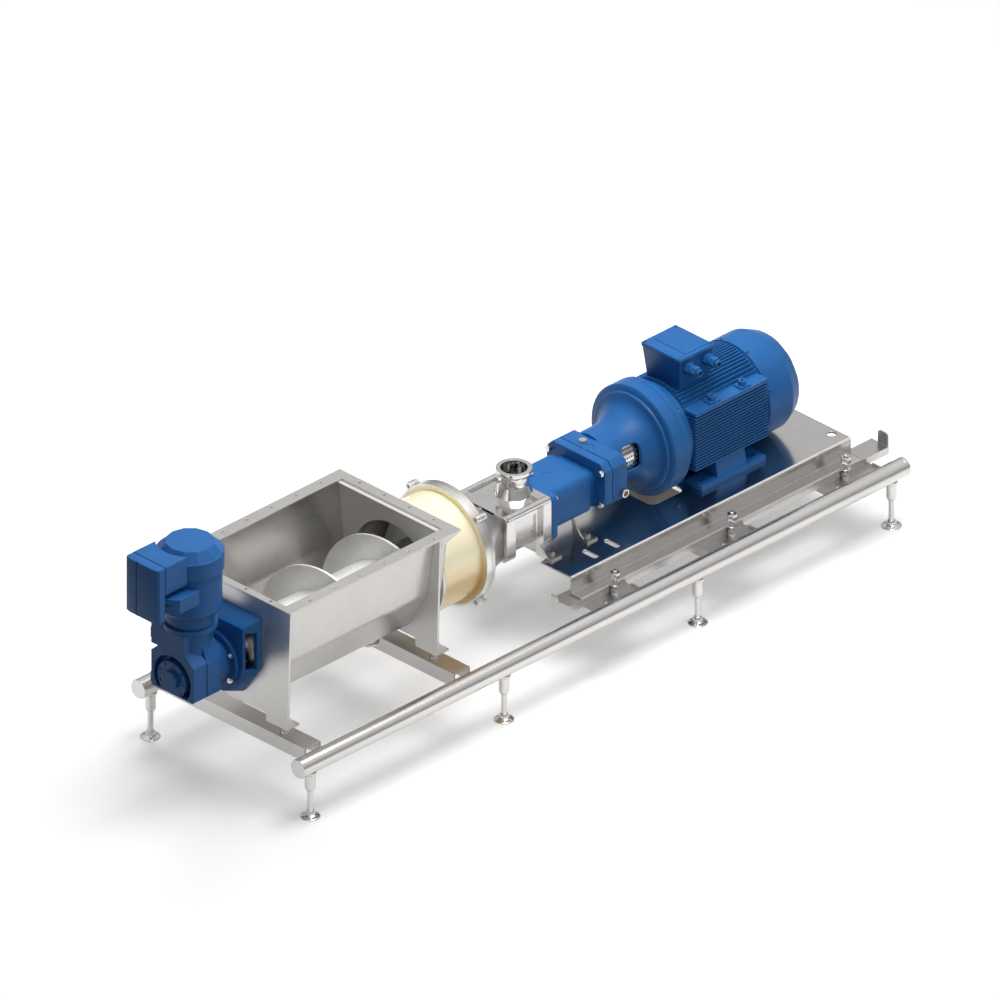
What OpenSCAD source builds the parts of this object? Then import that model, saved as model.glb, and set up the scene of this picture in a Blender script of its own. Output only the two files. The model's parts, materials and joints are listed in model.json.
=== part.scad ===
/* [Floor frame] */
// Outside diameter of the two floor tubes
tube_d = 60.3; // [48.3:0.1:76.1]
// Wall of the floor tubes
tube_wall = 2.6; // [2:0.1:5]
// Distance of each floor tube's axis from the centre plane
tube_y = 330; // [322:1:420]
// Height of the floor tubes' axes
tube_z = 180; // [165:1:260]
// Spacing of the feet along a tube
foot_pitch = 800; // [790:1:900]
// Length of tube past the first and the last foot
tube_overhang = 52; // [30:1:120]
// Outside diameter of the foot sleeves under the tubes
sleeve_d = 32; // [28:1:45]
// Height of the sleeves' lower ends
sleeve_z = 90; // [70:1:110]
// Diameter of the foot spindles
spindle_d = 18; // [12:1:22]
// Diameter of the foot plates
foot_d = 60; // [50:1:90]
// Travel of each levelling foot
foot_travel = 30; // [10:1:40]

/* [Cross beams] */
// Width of the two beams that carry the hopper
beam_w = 65; // [50:1:90]
// Height of those beams
beam_h = 45; // [30:1:60]
// Height of the beams' top above the tube axis
beam_rise = 32; // [20:1:34]
// Sheet thickness of beams, brackets and rails
sheet_t = 4; // [3:0.5:6]
// Width of the three brackets under the rails
bracket_w = 189; // [120:1:220]
// Depth of the brackets' folded edges
bracket_h = 30; // [20:1:40]
// Places of the brackets, from the rails' front end
bracket_at = [62, 546, 1057];
// Places of the clamps, from the rails' front end
clamp_at = [181, 664, 1135];

/* [Rails and carriage] */
// Width of each rail
rail_w = 71; // [60:1:80]
// Height of each rail
rail_h = 24; // [18:1:40]
// Distance from the centre plane to a rail's inner side
rail_in = 179; // [165:1:186]
// Rail length ahead of the carriage
rail_lead = 55; // [30:1:90]
// How far the carriage draws back to open the pump
slide_travel = 100; // [60:5:160]
// Length of the carriage
carriage_len = 1155; // [1145:5:1300]
// Half the width of the carriage's top
carriage_half = 207; // [200:1:215]
// Height of the carriage's top above the rails
carriage_rise = 60; // [45:1:80]
// Sheet thickness of the carriage
carriage_t = 6; // [4:0.5:8]
// Width of the carriage's runner flanges
runner_w = 43; // [30:1:45]
// Diameter of the clamp posts
post_d = 14; // [10:1:18]

/* [Hopper] */
// Length of the trough between the plates
trough_len = 660; // [500:5:800]
// Outside radius of the trough's round bottom
trough_r = 165; // [158:1:175]
// Wall of the trough and of the round ducts
wall = 4; // [3:0.5:6]
// Height of the rim above the auger axis
rim_rise = 223; // [200:1:300]
// Half the width of the rim, outside
rim_half = 250; // [244:1:280]
// Width of the rim's long sides
rim_side = 43; // [36:1:60]
// Width of the rim over the front plate
rim_front = 25; // [20:1:40]
// Thickness of the rim
rim_t = 6; // [4:0.5:10]
// Thickness of the front plate and of the saddle plate
plate_t = 8; // [6:0.5:12]
// Depth of those plates below the auger axis
plate_drop = 176; // [174:1:180]
// Half the width of those plates at the bottom
plate_foot = 236; // [220:1:244]
// Distance from the front plate to the saddle plate
saddle_at = 617; // [560:1:640]
// Radius of the rim's bolt holes
rim_hole_r = 4.5; // [3:0.5:6]
// Pitch of the rim's bolt holes, half of it from the middle
rim_hole_pitch = 102; // [80:1:120]

/* [Auger and feed tube] */
// Outside radius of the auger's flight
flight_r = 145; // [120:1:150]
// Pitch of the flight
flight_pitch = 256; // [180:1:320]
// Thickness of the flight
flight_t = 8; // [5:0.5:12]
// Diameter of the auger's core tube
core_d = 133; // [80:1:150]
// Inside radius of the feed tube
feed_r = 165; // [155:1:172]
// Length of the feed tube
feed_len = 158; // [120:1:240]
// Radius of the clamp ring and of the suction flange
clamp_r = 190.5; // [185:0.5:200]

/* [Twin screw pump head] */
// Distance between the two screws' axes
screw_gap = 72; // [66:0.5:78]
// Outside radius of the screws
screw_r = 52; // [46:0.5:53]
// Pitch of the screws
screw_pitch = 60; // [50:1:80]
// Width of a screw's crest
crest_w = 22; // [16:1:24]
// Width of a screw's thread at its root
root_w = 28; // [24:1:30]
// Diameter of the screw shafts
shaft_d = 35; // [28:1:36]
// Length of the suction casing behind its flange
suction_len = 126; // [90:1:160]
// Half the width of the pump head's flanges
head_half = 111; // [108:1:118]
// Height of the pump head's flanges above the axis
head_up = 64; // [60:1:70]
// Depth of the pump head's flanges below the axis
head_down = 88; // [72:1:89]
// Length of the pump head between its flanges
head_len = 114; // [100:1:160]
// Bore radius of the discharge port
port_r = 40.5; // [35:0.5:43]
// Height of the discharge port above the axis
port_rise = 139; // [120:1:200]

/* [Timing gearbox] */
// Length of the gearbox's slim middle
box_mid_len = 187; // [150:1:240]
// Length of the gear case
case_len = 91; // [80:1:120]
// Half the width of the gear case
case_half = 120; // [112:1:130]
// Module of the timing gears
gear_module = 3; // [2:0.5:4]
// Face width of the timing gears
gear_w = 40; // [20:1:55]

/* [Motor] */
// Gap between the motor's lowest fins and the deck
fin_gap = 2; // [1:0.5:8]
// Radius of the motor's flange
flange_r = 175; // [165:1:180]
// Length of the bell housing
bell_len = 224; // [210:1:260]
// Length of the finned frame
frame_len = 300; // [290:5:360]
// Reach of the fins from the motor's axis
fin_reach = 158; // [150:1:165]
// Pitch of the cooling fins
fin_pitch = 10; // [9:0.5:14]
// Thickness of the cooling fins
fin_t = 4; // [3:0.5:5]
// Length of the fan cowl
cowl_len = 133; // [110:1:160]
// Diameter of the motor's shaft
motor_shaft_d = 42; // [38:1:48]

/* [Gear motor] */
// Depth of the lantern in front of the hopper
lantern_len = 54; // [48:1:90]
// Half the width of the gear housing
housing_half = 87; // [80:1:100]
// Length of the gear housing's main block
housing_len = 113; // [100:1:140]
// Distance of the upright motor's axis from the hopper
drive_at = 165; // [155:1:185]
// Radius of the upright motor's body
drive_r = 95; // [85:1:100]
// Height of the upright motor's foot above the auger axis
drive_foot = 227; // [215:1:260]
// Height of the upright motor's body
drive_h = 128; // [100:1:180]
// Height of the inverter box
inverter_h = 180; // [120:1:220]
// Half the width of the inverter box
inverter_half = 68; // [55:1:80]

/* [Clearances] */
// Gap between fixed pieces
seat = 0.2; // [0.1:0.05:0.4]
// Gap between pieces that move apart
clear = 0.3; // [0.2:0.05:0.6]
// Radial gap of a running fit
run = 0.06; // [0.02:0.01:0.1]

/* [Hidden] */

$fn = 64;

steel = "gainsboro";
bright = "whitesmoke";
blue = "royalblue";
dark = "dimgray";
cream = "lemonchiffon";

feet_per_tube = 4;
tube_len = (feet_per_tube - 1) * foot_pitch + 2 * tube_overhang;
tube_r = tube_d / 2;
inner_y = tube_y - tube_r - seat;
beam_top = tube_z + beam_rise;
bracket_top = tube_z + 2;
bracket_lip = 8;
rail_top = bracket_top + rail_h;
deck_z = rail_top + carriage_rise;
axis_z = deck_z + fin_reach + fin_gap;
runner_out = carriage_half + runner_w;
post_foot_r = 11;
post_y = runner_out + post_foot_r + 0.6;

// Stations along the pump, measured from the first feet
x_front = -2;
x_trough = x_front + plate_t;
x_wall = x_trough + trough_len;
spigot_len = 30;
x_flange = x_wall + wall + spigot_len;
duct_flange_t = 12;
x_feed = x_flange + duct_flange_t;
x_clamp = x_feed + feed_len;
clamp_t = 20;
x_joint = x_clamp + clamp_t;
suction_flange_t = 15;
x_suction = x_joint + suction_flange_t;
x_head = x_suction + suction_len;
head_flange_t = 37;
x_body = x_head + head_flange_t;
x_rear = x_body + head_len;
rear_flange_t = 33;
x_box = x_rear + rear_flange_t;
box_flange_t = 25;
x_mid = x_box + box_flange_t;
x_case = x_mid + box_mid_len;
x_bell = x_case + case_len;
x_motor = x_bell + bell_len;
motor_flange_t = 20;
shield_len = 38;
x_fins = x_motor + motor_flange_t + shield_len;
x_fin_end = x_fins + frame_len;
rear_shield_t = 16;
x_cowl = x_fin_end + rear_shield_t;
x_cowl_end = x_cowl + cowl_len;
x_carriage = x_rear + 18;
x_carriage_end = x_carriage + carriage_len;
x_rail = x_carriage - rail_lead;
stop_gap = 10;
x_rail_end = x_carriage_end + slide_travel + stop_gap + sheet_t;
x_rim_end = x_flange + 2;

// The upright gear motor in front of the hopper
x_drive = x_front - drive_at;
x_lantern = x_front - lantern_len;
lantern_plate = 8;
gear_flange_t = 14;
x_gear_flange = x_lantern - gear_flange_t;
x_housing = x_drive + 40;
x_housing_front = x_housing - housing_len;
drive_z = axis_z + drive_foot;
cowl_z = drive_z + drive_h;
inverter_d = 103;
cowl_r = drive_r + 6;
x_inverter = x_drive - cowl_r - inverter_d;

// The origin is on the floor, in the middle of the whole length
x_middle = (x_inverter + x_rail_end) / 2;

// The screws lie side by side; the drive screw is on the motor's axis
screw_y = screw_gap / 2;
core_r = screw_gap - screw_r - clear;
shaft_r = shaft_d / 2;
gear_teeth = round(screw_gap / gear_module);
rim_z = axis_z + rim_rise;
rim_under = rim_z - rim_t;
plate_z = axis_z - plate_drop;

module place() translate([-x_middle, 0, 0]) children();

// A round bar along X, on the pump's axis unless told otherwise
module rod_x(x0, x1, r, y = 0, z = axis_z)
    translate([x0, y, z]) rotate([0, 90, 0]) cylinder(h = x1 - x0, r = r);

// A pipe along X
module pipe_x(x0, x1, r, bore, y = 0, z = axis_z)
    translate([x0, y, z]) rotate([0, 90, 0]) difference() {
        cylinder(h = x1 - x0, r = r);
        translate([0, 0, -1]) cylinder(h = x1 - x0 + 2, r = bore);
    }

// A profile of radius and station, turned about a line along X
module turned_x(y = 0, z = axis_z) translate([0, y, z]) rotate([0, 90, 0]) rotate_extrude() children();

// A profile drawn in Y and Z, drawn out along X
module along_x(x0, x1) translate([x0, 0, 0]) rotate([90, 0, 90]) linear_extrude(x1 - x0) children();

// A profile drawn in X and Z, drawn out along Y
module along_y(y0, y1) translate([0, y1, 0]) rotate([90, 0, 0]) linear_extrude(y1 - y0) children();

// A block from its lowest corner to its highest
module block(a, b) translate(a) cube(b - a);

// A rectangle with round corners, from its lowest corner to its highest
module round_rect(a, b, r) {
    translate([a[0] + r, a[1]]) square([b[0] - a[0] - 2 * r, b[1] - a[1]]);
    translate([a[0], a[1] + r]) square([b[0] - a[0], b[1] - a[1] - 2 * r]);
    for (x = [a[0] + r, b[0] - r], y = [a[1] + r, b[1] - r]) translate([x, y]) circle(r);
}

// An upright slot through the deck
module slot_z(x, y, len, w, z0, z1) translate([x, y, z0]) {
    translate([-w / 2, -(len - w) / 2, 0]) cube([w, len - w, z1 - z0]);
    for (s = [-1, 1]) translate([0, s * (len - w) / 2, 0]) cylinder(h = z1 - z0, d = w);
}

// Both sides of the centre plane
module both_sides() {
    children();
    mirror([0, 1, 0]) children();
}

// A hexagon bolt head standing along +Z
module hex_head(across, h) cylinder(h = h, r = across / sqrt(3), $fn = 6);

function arc(c, r, a0, a1, n) = [for (i = [0:n]) c + r * [cos(a0 + (a1 - a0) * i / n), sin(a0 + (a1 - a0) * i / n)]];

/* Floor frame */

sleeve_cone = 8;
spindle_top = sleeve_z + 60;
sleeve_top = tube_z - 12;

module floor_tube(side) place() {
    cap = 5;
    weld = 12;
    bevel = 1.5;
    difference() {
        turned_x(side * tube_y, tube_z) polygon([
            [0, -tube_overhang], [tube_r - bevel, -tube_overhang], [tube_r, bevel - tube_overhang],
            [tube_r, weld - 1 - tube_overhang], [tube_r - 0.8, weld - tube_overhang],
            [tube_r, weld + 1 - tube_overhang], [tube_r, tube_len - tube_overhang - weld - 1],
            [tube_r - 0.8, tube_len - tube_overhang - weld], [tube_r, tube_len - tube_overhang - weld + 1],
            [tube_r, tube_len - tube_overhang - bevel], [tube_r - bevel, tube_len - tube_overhang],
            [0, tube_len - tube_overhang]]);
        rod_x(cap - tube_overhang, tube_len - tube_overhang - cap, tube_r - tube_wall, side * tube_y, tube_z);
        for (i = [0:feet_per_tube - 1]) translate([i * foot_pitch, side * tube_y, sleeve_z])
            cylinder(h = tube_z - sleeve_z, d = sleeve_d);
    }
    for (i = [0:feet_per_tube - 1]) translate([i * foot_pitch, side * tube_y, 0]) foot_sleeve();
}

// A threaded sleeve, welded into the tube's underside, that takes a foot's spindle
module foot_sleeve() difference() {
    rotate_extrude() polygon([
        [0, sleeve_z], [sleeve_d / 2 - 3.5, sleeve_z], [sleeve_d / 2, sleeve_z + sleeve_cone],
        [sleeve_d / 2, sleeve_top], [0, sleeve_top]]);
    translate([0, 0, sleeve_z - 1]) cylinder(h = spindle_top + clear - sleeve_z + 1, d = spindle_d + 2 * run);
}

module tube_near() color(steel) floor_tube(-1);
module tube_far() color(steel) floor_tube(1);

// A levelling foot: a spindle that stands in the socket of a domed plate
module levelling_foot(i, side) place() translate([i * foot_pitch, side * tube_y, 0]) {
    dome_r = 14.5;
    dome_z = 14;
    socket_z = 7;
    difference() {
        rotate_extrude() polygon(concat(
            [[0, 0], [foot_d / 2, 0], [foot_d / 2, 3], [foot_d / 2 - 2, 4.5], [dome_r + 4, 7.5], [dome_r, 10]],
            arc([0, dome_z], dome_r, 0, 80, 6), [[0, dome_z + dome_r]]));
        translate([0, 0, socket_z]) cylinder(h = dome_z + dome_r, d = spindle_d + 2 * seat);
    }
    translate([0, 0, socket_z + seat]) cylinder(h = spindle_top - socket_z - seat, d = spindle_d);
}

module foot(n) color(bright) levelling_foot((n - 1) % feet_per_tube, n > feet_per_tube ? 1 : -1);

// A channel open below, lying across the frame
module cross_channel(x0, w, h, top) along_y(-inner_y, inner_y) difference() {
    translate([x0, top - h]) square([w, h]);
    translate([x0 + sheet_t, top - h - 1]) square([w - 2 * sheet_t, h - sheet_t + 1]);
}

x_beams = [x_front + 10, x_front + saddle_at + 9];

module hopper_beams() color(steel) place() for (x = x_beams) cross_channel(x, beam_w, beam_h, beam_top);

// The first bracket is two stubs that reach in only to here
stub_in = rail_in - 8;
module rail_brackets() color(steel) place() for (i = [0:len(bracket_at) - 1]) {
    x0 = x_rail + bracket_at[i];
    eye_x = x_rail + clamp_at[i] - 56;
    difference() {
        union() {
            difference() {
                cross_channel(x0, bracket_w, bracket_h, bracket_top);
                if (i == 0) block([x0 - 1, -stub_in, bracket_top - bracket_h - 1], [x0 + bracket_w + 1, stub_in, bracket_top + 1]);
            }
            both_sides() block([x0 + bracket_w - sheet_t, rail_in + rail_w + 12, bracket_top - 1],
                [x0 + bracket_w, inner_y, bracket_top + bracket_lip]);
        }
        both_sides() translate([eye_x, inner_y - 15, bracket_top - sheet_t - 1]) cylinder(h = sheet_t + 2, r = 6);
    }
}

module rail(side) place() mirror([0, side > 0 ? 0 : 1, 0]) {
    rail_out = rail_in + rail_w;
    tab_w = 29;
    along_x(x_rail + sheet_t, x_rail_end - sheet_t) difference() {
        translate([rail_in, bracket_top]) square([rail_w, rail_h]);
        translate([rail_in + sheet_t, bracket_top - 1]) square([rail_w - 2 * sheet_t, rail_h - sheet_t + 1]);
    }
    // Upright tab at the front end
    block([x_rail, rail_in, bracket_top], [x_rail + sheet_t, rail_in + tab_w, rail_top + 13]);
    // End stop with a round top
    along_x(x_rail_end - sheet_t, x_rail_end) {
        translate([rail_in, bracket_top]) square([rail_w, rail_h]);
        round_rect([carriage_half + 1, bracket_top], [rail_out, rail_top + 44], 12);
    }
}

module rail_near() color(steel) rail(-1);
module rail_far() color(steel) rail(1);

// The clamps hold the carriage's runners down on the rails
jaw_z = rail_top + clear + carriage_t + clear;
jaw_h = 44;
post_top = jaw_z + jaw_h + 6;

module at_clamps() for (at = clamp_at) both_sides() translate([x_rail + at, post_y, 0]) children();

module clamp_posts() color(bright) place() at_clamps() {
    rotate_extrude() polygon([
        [0, bracket_top], [post_foot_r, bracket_top], [post_foot_r, bracket_top + 4],
        [post_d / 2, bracket_top + 6], [post_d / 2, post_top - 2], [post_d / 2 - 2, post_top], [0, post_top]]);
    // Eye that the post swings in
    translate([0, post_foot_r - 2, bracket_top + 10]) rotate([90, 0, 0]) cylinder(h = 2 * post_foot_r - 4, r = 10);
}

module clamp_jaws() color(dark) place() at_clamps() difference() {
    union() {
        translate([0, 0, jaw_z]) cylinder(h = 5, r = 18);
        translate([0, 0, jaw_z + 4]) hex_head(28, jaw_h - 4);
    }
    translate([0, 0, jaw_z - 1]) cylinder(h = jaw_h + 2, d = post_d + 2 * seat);
}

/* Hopper */

// The trough's section: steep sides, a knee, and a round bottom on the auger's axis.
// off moves the outline outwards; a negative value gives the inside.
knee_r = 60;
knee = [-143, 39];
knee_side = 187.6;
knee_base = 207.3;
function trough_half(off) = concat(
    [knee + (knee_r + off) * [cos(knee_side), sin(knee_side)] + trough_top(off) * [sin(knee_side), -cos(knee_side)]],
    arc(knee, knee_r + off, knee_side, knee_base, 4),
    arc([0, 0], trough_r + off, knee_base, 270, 10));
// Length of the steep side from the knee up to the rim's underside
function trough_top(off) =
    (rim_rise - rim_t - knee[1] - (knee_r + off) * sin(knee_side)) / -cos(knee_side);
function mirrored(pts) = [for (i = [len(pts) - 2:-1:0]) [-pts[i][0], pts[i][1]]];
module trough_outline(off) translate([0, axis_z]) polygon(concat(trough_half(off), mirrored(trough_half(off))));

module hopper_trough() color(steel) place() difference() {
    along_x(x_trough + seat, x_wall - seat) trough_outline(0);
    along_x(x_trough - 1, x_wall + 1) {
        trough_outline(-wall);
        translate([-trough_r, rim_under - 1 - wall]) square([2 * trough_r, 2 * wall]);
    }
}

function rim_hole_ys() = [for (k = [-1.5:1:1.5]) k * rim_hole_pitch];
function rim_hole_xs() = [for (k = [-2.5:1:2.5]) k * rim_hole_pitch];
rim_mid_x = (x_front + x_rim_end) / 2;
rim_end_w = x_rim_end - x_wall;

module hopper_rim() color(steel) place() {
    difference() {
        block([x_front, -rim_half, rim_under], [x_rim_end, rim_half, rim_z]);
        block([x_front + rim_front, rim_side - rim_half, rim_under - 1],
            [x_rim_end - rim_end_w, rim_half - rim_side, rim_z + 1]);
        for (x = rim_hole_xs()) both_sides() rim_hole(rim_mid_x + x, rim_half - 18);
        for (y = rim_hole_ys()) {
            rim_hole(x_front + 14, y);
            rim_hole(x_rim_end - 16, y);
        }
    }
    // Gussets under the overhang
    both_sides() along_y(rim_half - 6, rim_half) polygon([
        [x_front + saddle_at + plate_t + seat, rim_under], [x_rim_end - 2, rim_under],
        [x_front + saddle_at + plate_t + seat, rim_under - 22]]);
}

module rim_hole(x, y) translate([x, y, rim_under - 1]) cylinder(h = rim_t + 2, r = rim_hole_r);

// A plate across the hopper that stands on two feet
foot_w = 87;
foot_rise = 28;
foot_reach = 43;
module plate_outline() difference() {
    polygon([[-plate_foot, plate_z], [plate_foot, plate_z], [rim_half, rim_under - seat], [-rim_half, rim_under - seat]]);
    translate([foot_w - plate_foot, plate_z - foot_rise]) {
        round_rect([0, 0], [2 * (plate_foot - foot_w), 2 * foot_rise], 10);
    }
}

foot_bolt_y = plate_foot - foot_w / 2;
foot_bolt_r = 6;
module plate_feet(x0) both_sides() {
    difference() {
        block([x0, plate_foot - foot_w, plate_z], [x0 + foot_reach, plate_foot, plate_z + 6]);
        translate([x0 + foot_reach * 0.58, foot_bolt_y, plate_z - 1]) cylinder(h = 8, r = foot_bolt_r + 0.5);
    }
    // Gusset between the foot and the plate
    along_y(plate_foot - 6, plate_foot) polygon([[x0, plate_z + 5], [x0 + foot_reach - 8, plate_z + 5], [x0, plate_z + 45]]);
}

seal_r = 50;
module front_plate() color(steel) place() {
    difference() {
        along_x(x_front, x_trough) plate_outline();
        rod_x(x_front - 1, x_trough + 1, seal_r);
    }
    plate_feet(x_trough);
}

module saddle_plate() color(steel) place() {
    x0 = x_front + saddle_at;
    difference() {
        along_x(x0, x0 + plate_t) plate_outline();
        along_x(x0 - 1, x0 + plate_t + 1) {
            trough_outline(seat);
            translate([-trough_r, rim_under - 2 * wall]) square([2 * trough_r, 4 * wall]);
        }
    }
    plate_feet(x0 + plate_t);
}

// The end wall, its folded top and the spigot to the feed tube
module hopper_end_wall() color(steel) place() {
    fold = 15;
    fold_half = 218;
    difference() {
        union() {
            along_x(x_wall, x_wall + wall) trough_outline(0);
            rod_x(x_wall, x_flange - seat, feed_r + wall);
            // The wall's top edge is folded back over the trough
            block([x_wall - fold, -fold_half, rim_under - wall - seat], [x_wall + 1, fold_half, rim_under - seat]);
        }
        rod_x(x_wall + wall, x_flange, feed_r);
        rod_x(x_wall - 1, x_wall + wall + 1, flight_r + 10);
    }
}

module hopper_foot_bolts() color(bright) place()
    for (x0 = [x_trough, x_front + saddle_at + plate_t]) both_sides()
        translate([x0 + foot_reach * 0.58, foot_bolt_y, 0]) {
            translate([0, 0, beam_top + seat]) hex_head(24, 9);
            translate([0, 0, beam_top + seat + 9]) cylinder(h = plate_z - beam_top + 6, r = foot_bolt_r);
            translate([0, 0, plate_z - 10 - seat]) hex_head(19, 10);
            translate([0, 0, plate_z + 6 + seat]) hex_head(19, 9);
        }

/* Auger */

x_flight = x_trough + 8;
x_flight_end = x_clamp - 8;
// Angle at which the flight stands straight up, and the station where it does
flight_up_x = 337;

// A ribbon of four corners swept along a helix
module flight() {
    steps_per_turn = 36;
    len_x = x_flight_end - x_flight;
    steps = round(len_x / flight_pitch * steps_per_turn);
    inner = core_d / 2 + 0.9;
    corners = [[0, inner], [flight_t, inner], [flight_t, flight_r], [0, flight_r]];
    points = [for (i = [0:steps], c = corners)
        let (x = x_flight + len_x * i / steps, a = 90 + 360 * (x - flight_up_x) / flight_pitch)
        [x + c[0] - flight_t / 2, c[1] * cos(a), axis_z + c[1] * sin(a)]];
    sides = [for (i = [0:steps - 1], j = [0:3])
        let (a = 4 * i + j, b = 4 * i + (j + 1) % 4) each [[b, a, a + 4], [b, a + 4, b + 4]]];
    polyhedron(points, concat([[0, 1, 2, 3]], sides, [[for (j = [3:-1:0]) 4 * steps + j]]));
}

auger_stub_r = 35;
x_auger_front = x_gear_flange - 60;
module auger() color(steel) place() {
    flight();
    rod_x(x_trough + 3, x_flight_end + 4, core_d / 2);
    rod_x(x_auger_front, x_trough + 3, auger_stub_r);
}

module auger_seal() color(dark) place() {
    difference() {
        union() {
            rod_x(x_front - 14, x_trough, seal_r - seat);
            rod_x(x_front - 14, x_front - seat, seal_r + 9);
        }
        rod_x(x_front - 16, x_trough + 2, auger_stub_r + run);
    }
}

/* Gear motor */

lantern_r = 106;
lantern_top = 134;
lantern_rear = 133;
lantern_rear_top = 161;
module lantern_front(grow) {
    circle(lantern_r + grow, $fn = 48);
    translate([-lantern_r - grow, 0]) square([2 * (lantern_r + grow), lantern_top + grow]);
}
module lantern_back(grow) polygon([
    [-lantern_rear - grow, lantern_rear_top + grow], [-lantern_rear - grow, -5], [-62, -108 - grow],
    [62, -108 - grow], [lantern_rear + grow, -5], [lantern_rear + grow, lantern_rear_top + grow]]);

// A hood that widens from the gear motor's flange to the hopper
module lantern() color(blue) place() difference() {
    hull() {
        along_x(x_lantern, x_lantern + lantern_plate) translate([0, axis_z]) hull() lantern_front(0);
        along_x(x_front - lantern_plate, x_front - seat) translate([0, axis_z]) lantern_back(0);
    }
    hull() {
        along_x(x_lantern + lantern_plate, x_lantern + lantern_plate + 1) translate([0, axis_z]) hull() lantern_front(-10);
        along_x(x_front, x_front + 1) translate([0, axis_z]) lantern_back(-10);
    }
    rod_x(x_lantern - 1, x_lantern + lantern_plate + 2, 60);
    block([x_lantern + lantern_plate, -200, axis_z - 6], [x_front - 2 * lantern_plate, 200, axis_z + lantern_top - 16]);
}

guard_r = 94;
module lantern_guard() color(bright) place() difference() {
    pipe_x(x_lantern + lantern_plate + seat, x_front - seat - 1, guard_r, guard_r - 1.5);
    for (a = [-24:12:24], x = [0:9:27]) for (s = [0, 180])
        translate([x_lantern + lantern_plate + 9 + x, 0, axis_z]) rotate([a + s + 4, 0, 0])
            translate([0, 0, 0]) rotate([90, 0, 0]) translate([0, 0, guard_r - 4]) cylinder(h = 8, r = 3);
}

// Front outline of the gear housing's main block, seen along the auger's axis
module housing_outline(cut_y, cut_z, top) translate([0, axis_z]) polygon([
    [-housing_half + 4, -51], [housing_half - 4, -51], [housing_half, -47], [housing_half, cut_z], [cut_y, top],
    [-cut_y, top], [-housing_half, cut_z], [-housing_half, -47]]);

ring_top = drive_foot - 53;
// The round cover stands in a recess of the housing's front face, flat at its lower side
cover_r = 58;
recess_r = 76;
recess_d = 27;
cover_cut = 44;
module recess_outline(r) intersection() {
    translate([0, axis_z]) circle(r);
    translate([-100, axis_z - cover_cut]) square([200, 200]);
}

module gear_housing() color(blue) place() difference() {
    union() {
        along_x(x_housing_front, x_housing_front + 58) housing_outline(46, 66, 102);
        along_x(x_housing_front + 58, x_housing) housing_outline(62, 58, 118);
        rod_x(x_housing, x_gear_flange, 72);
        rod_x(x_gear_flange, x_lantern - seat, 93);
        translate([x_drive, 0, axis_z + 60]) cylinder(h = ring_top - 60, r = 68);
        translate([x_drive, 0, axis_z + ring_top - 15]) cylinder(h = 15, r = 82);
        block([x_housing_front, -46, axis_z + 90], [x_housing_front + 60, housing_half, axis_z + ring_top - 15]);
        // Pads on the far side
        for (z = [-46, 104]) block([x_housing_front + 4, housing_half - 1, axis_z + z],
            [x_housing_front + 50, housing_half + 7, axis_z + z + 34]);
    }
    along_x(x_housing_front - 1, x_housing_front + recess_d) difference() {
        recess_outline(recess_r);
        recess_outline(cover_r - 10);
    }
    // Groove between the housing's two sections
    along_x(x_housing_front + 55, x_housing_front + 58) difference() {
        translate([-200, axis_z - 100]) square([400, 190]);
        translate([4 - housing_half, axis_z - 100]) square([2 * housing_half - 8, 190]);
    }
    // Bore for the auger's stub and the pinion's seat above
    rod_x(x_auger_front - 4, x_lantern + 1, auger_stub_r + run);
    translate([x_drive, 0, axis_z + ring_top - 20]) cylinder(h = 21, r = 24);
}

module gear_cover() color(blue) place() {
    x_face = x_housing_front - 3;
    difference() {
        union() {
            along_x(x_face, x_housing_front - seat) recess_outline(cover_r);
            along_x(x_housing_front - 1, x_housing_front + recess_d - seat) difference() {
                recess_outline(cover_r);
                recess_outline(cover_r - 10 + seat);
            }
            rod_x(x_face - 11, x_face + 1, 30);
        }
        for (a = [-20:40:220]) rod_x(x_face - 1, x_face + 8, 3.5, 50 * cos(a), axis_z + 50 * sin(a));
    }
}

module gear_bolts() color(bright) place() for (a = [30:60:330])
    translate([x_gear_flange - seat, 84 * cos(a), axis_z + 84 * sin(a)]) rotate([0, -90, 0]) {
        hex_head(16, 8);
        cylinder(h = 12, r = 4);
    }

rotor_r = 14;
module drive_body() color(blue) place() translate([x_drive, 0, 0]) rotate_extrude() polygon([
    [rotor_r + run, axis_z + ring_top + seat], [74, axis_z + ring_top + seat], [74, drive_z - 10],
    [drive_r - 8, drive_z - 10], [drive_r, drive_z + 2], [drive_r, cowl_z], [drive_r - 20, cowl_z],
    [drive_r - 20, drive_z + 6], [rotor_r + run, drive_z + 6]]);

module drive_cowl() color(blue) place() translate([x_drive, 0, cowl_z + seat]) difference() {
    union() {
        cylinder(h = 54, r = cowl_r);
        translate([0, 0, 54]) cylinder(h = 30, r1 = cowl_r, r2 = 73, $fn = 12);
    }
    translate([0, 0, -1]) cylinder(h = 52, r = drive_r - 6);
}

module drive_rotor() color(dark) place() translate([x_drive, 0, 0]) {
    translate([0, 0, axis_z + ring_top - 18]) cylinder(h = cowl_z + 40 - axis_z - ring_top + 18, r = rotor_r);
    translate([0, 0, drive_z + 12]) cylinder(h = drive_h - 24, r = drive_r - 32);
    translate([0, 0, cowl_z + 8]) cylinder(h = 24, r = cowl_r - 24);
}

module inverter_box() color(blue) place() difference() {
    translate([0, 0, drive_z + 34]) linear_extrude(inverter_h) difference() {
        round_rect([x_inverter, -inverter_half], [x_drive - 76, inverter_half], 9);
        translate([x_drive, 0]) circle(cowl_r + seat + 1);
    }
    // Seam round the lid
    difference() {
        block([x_inverter + 26, -200, 0], [x_inverter + 28, 200, 2000]);
        block([x_inverter, 1.2 - inverter_half, 0], [x_drive, inverter_half - 1.2, 2000]);
    }
}

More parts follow.
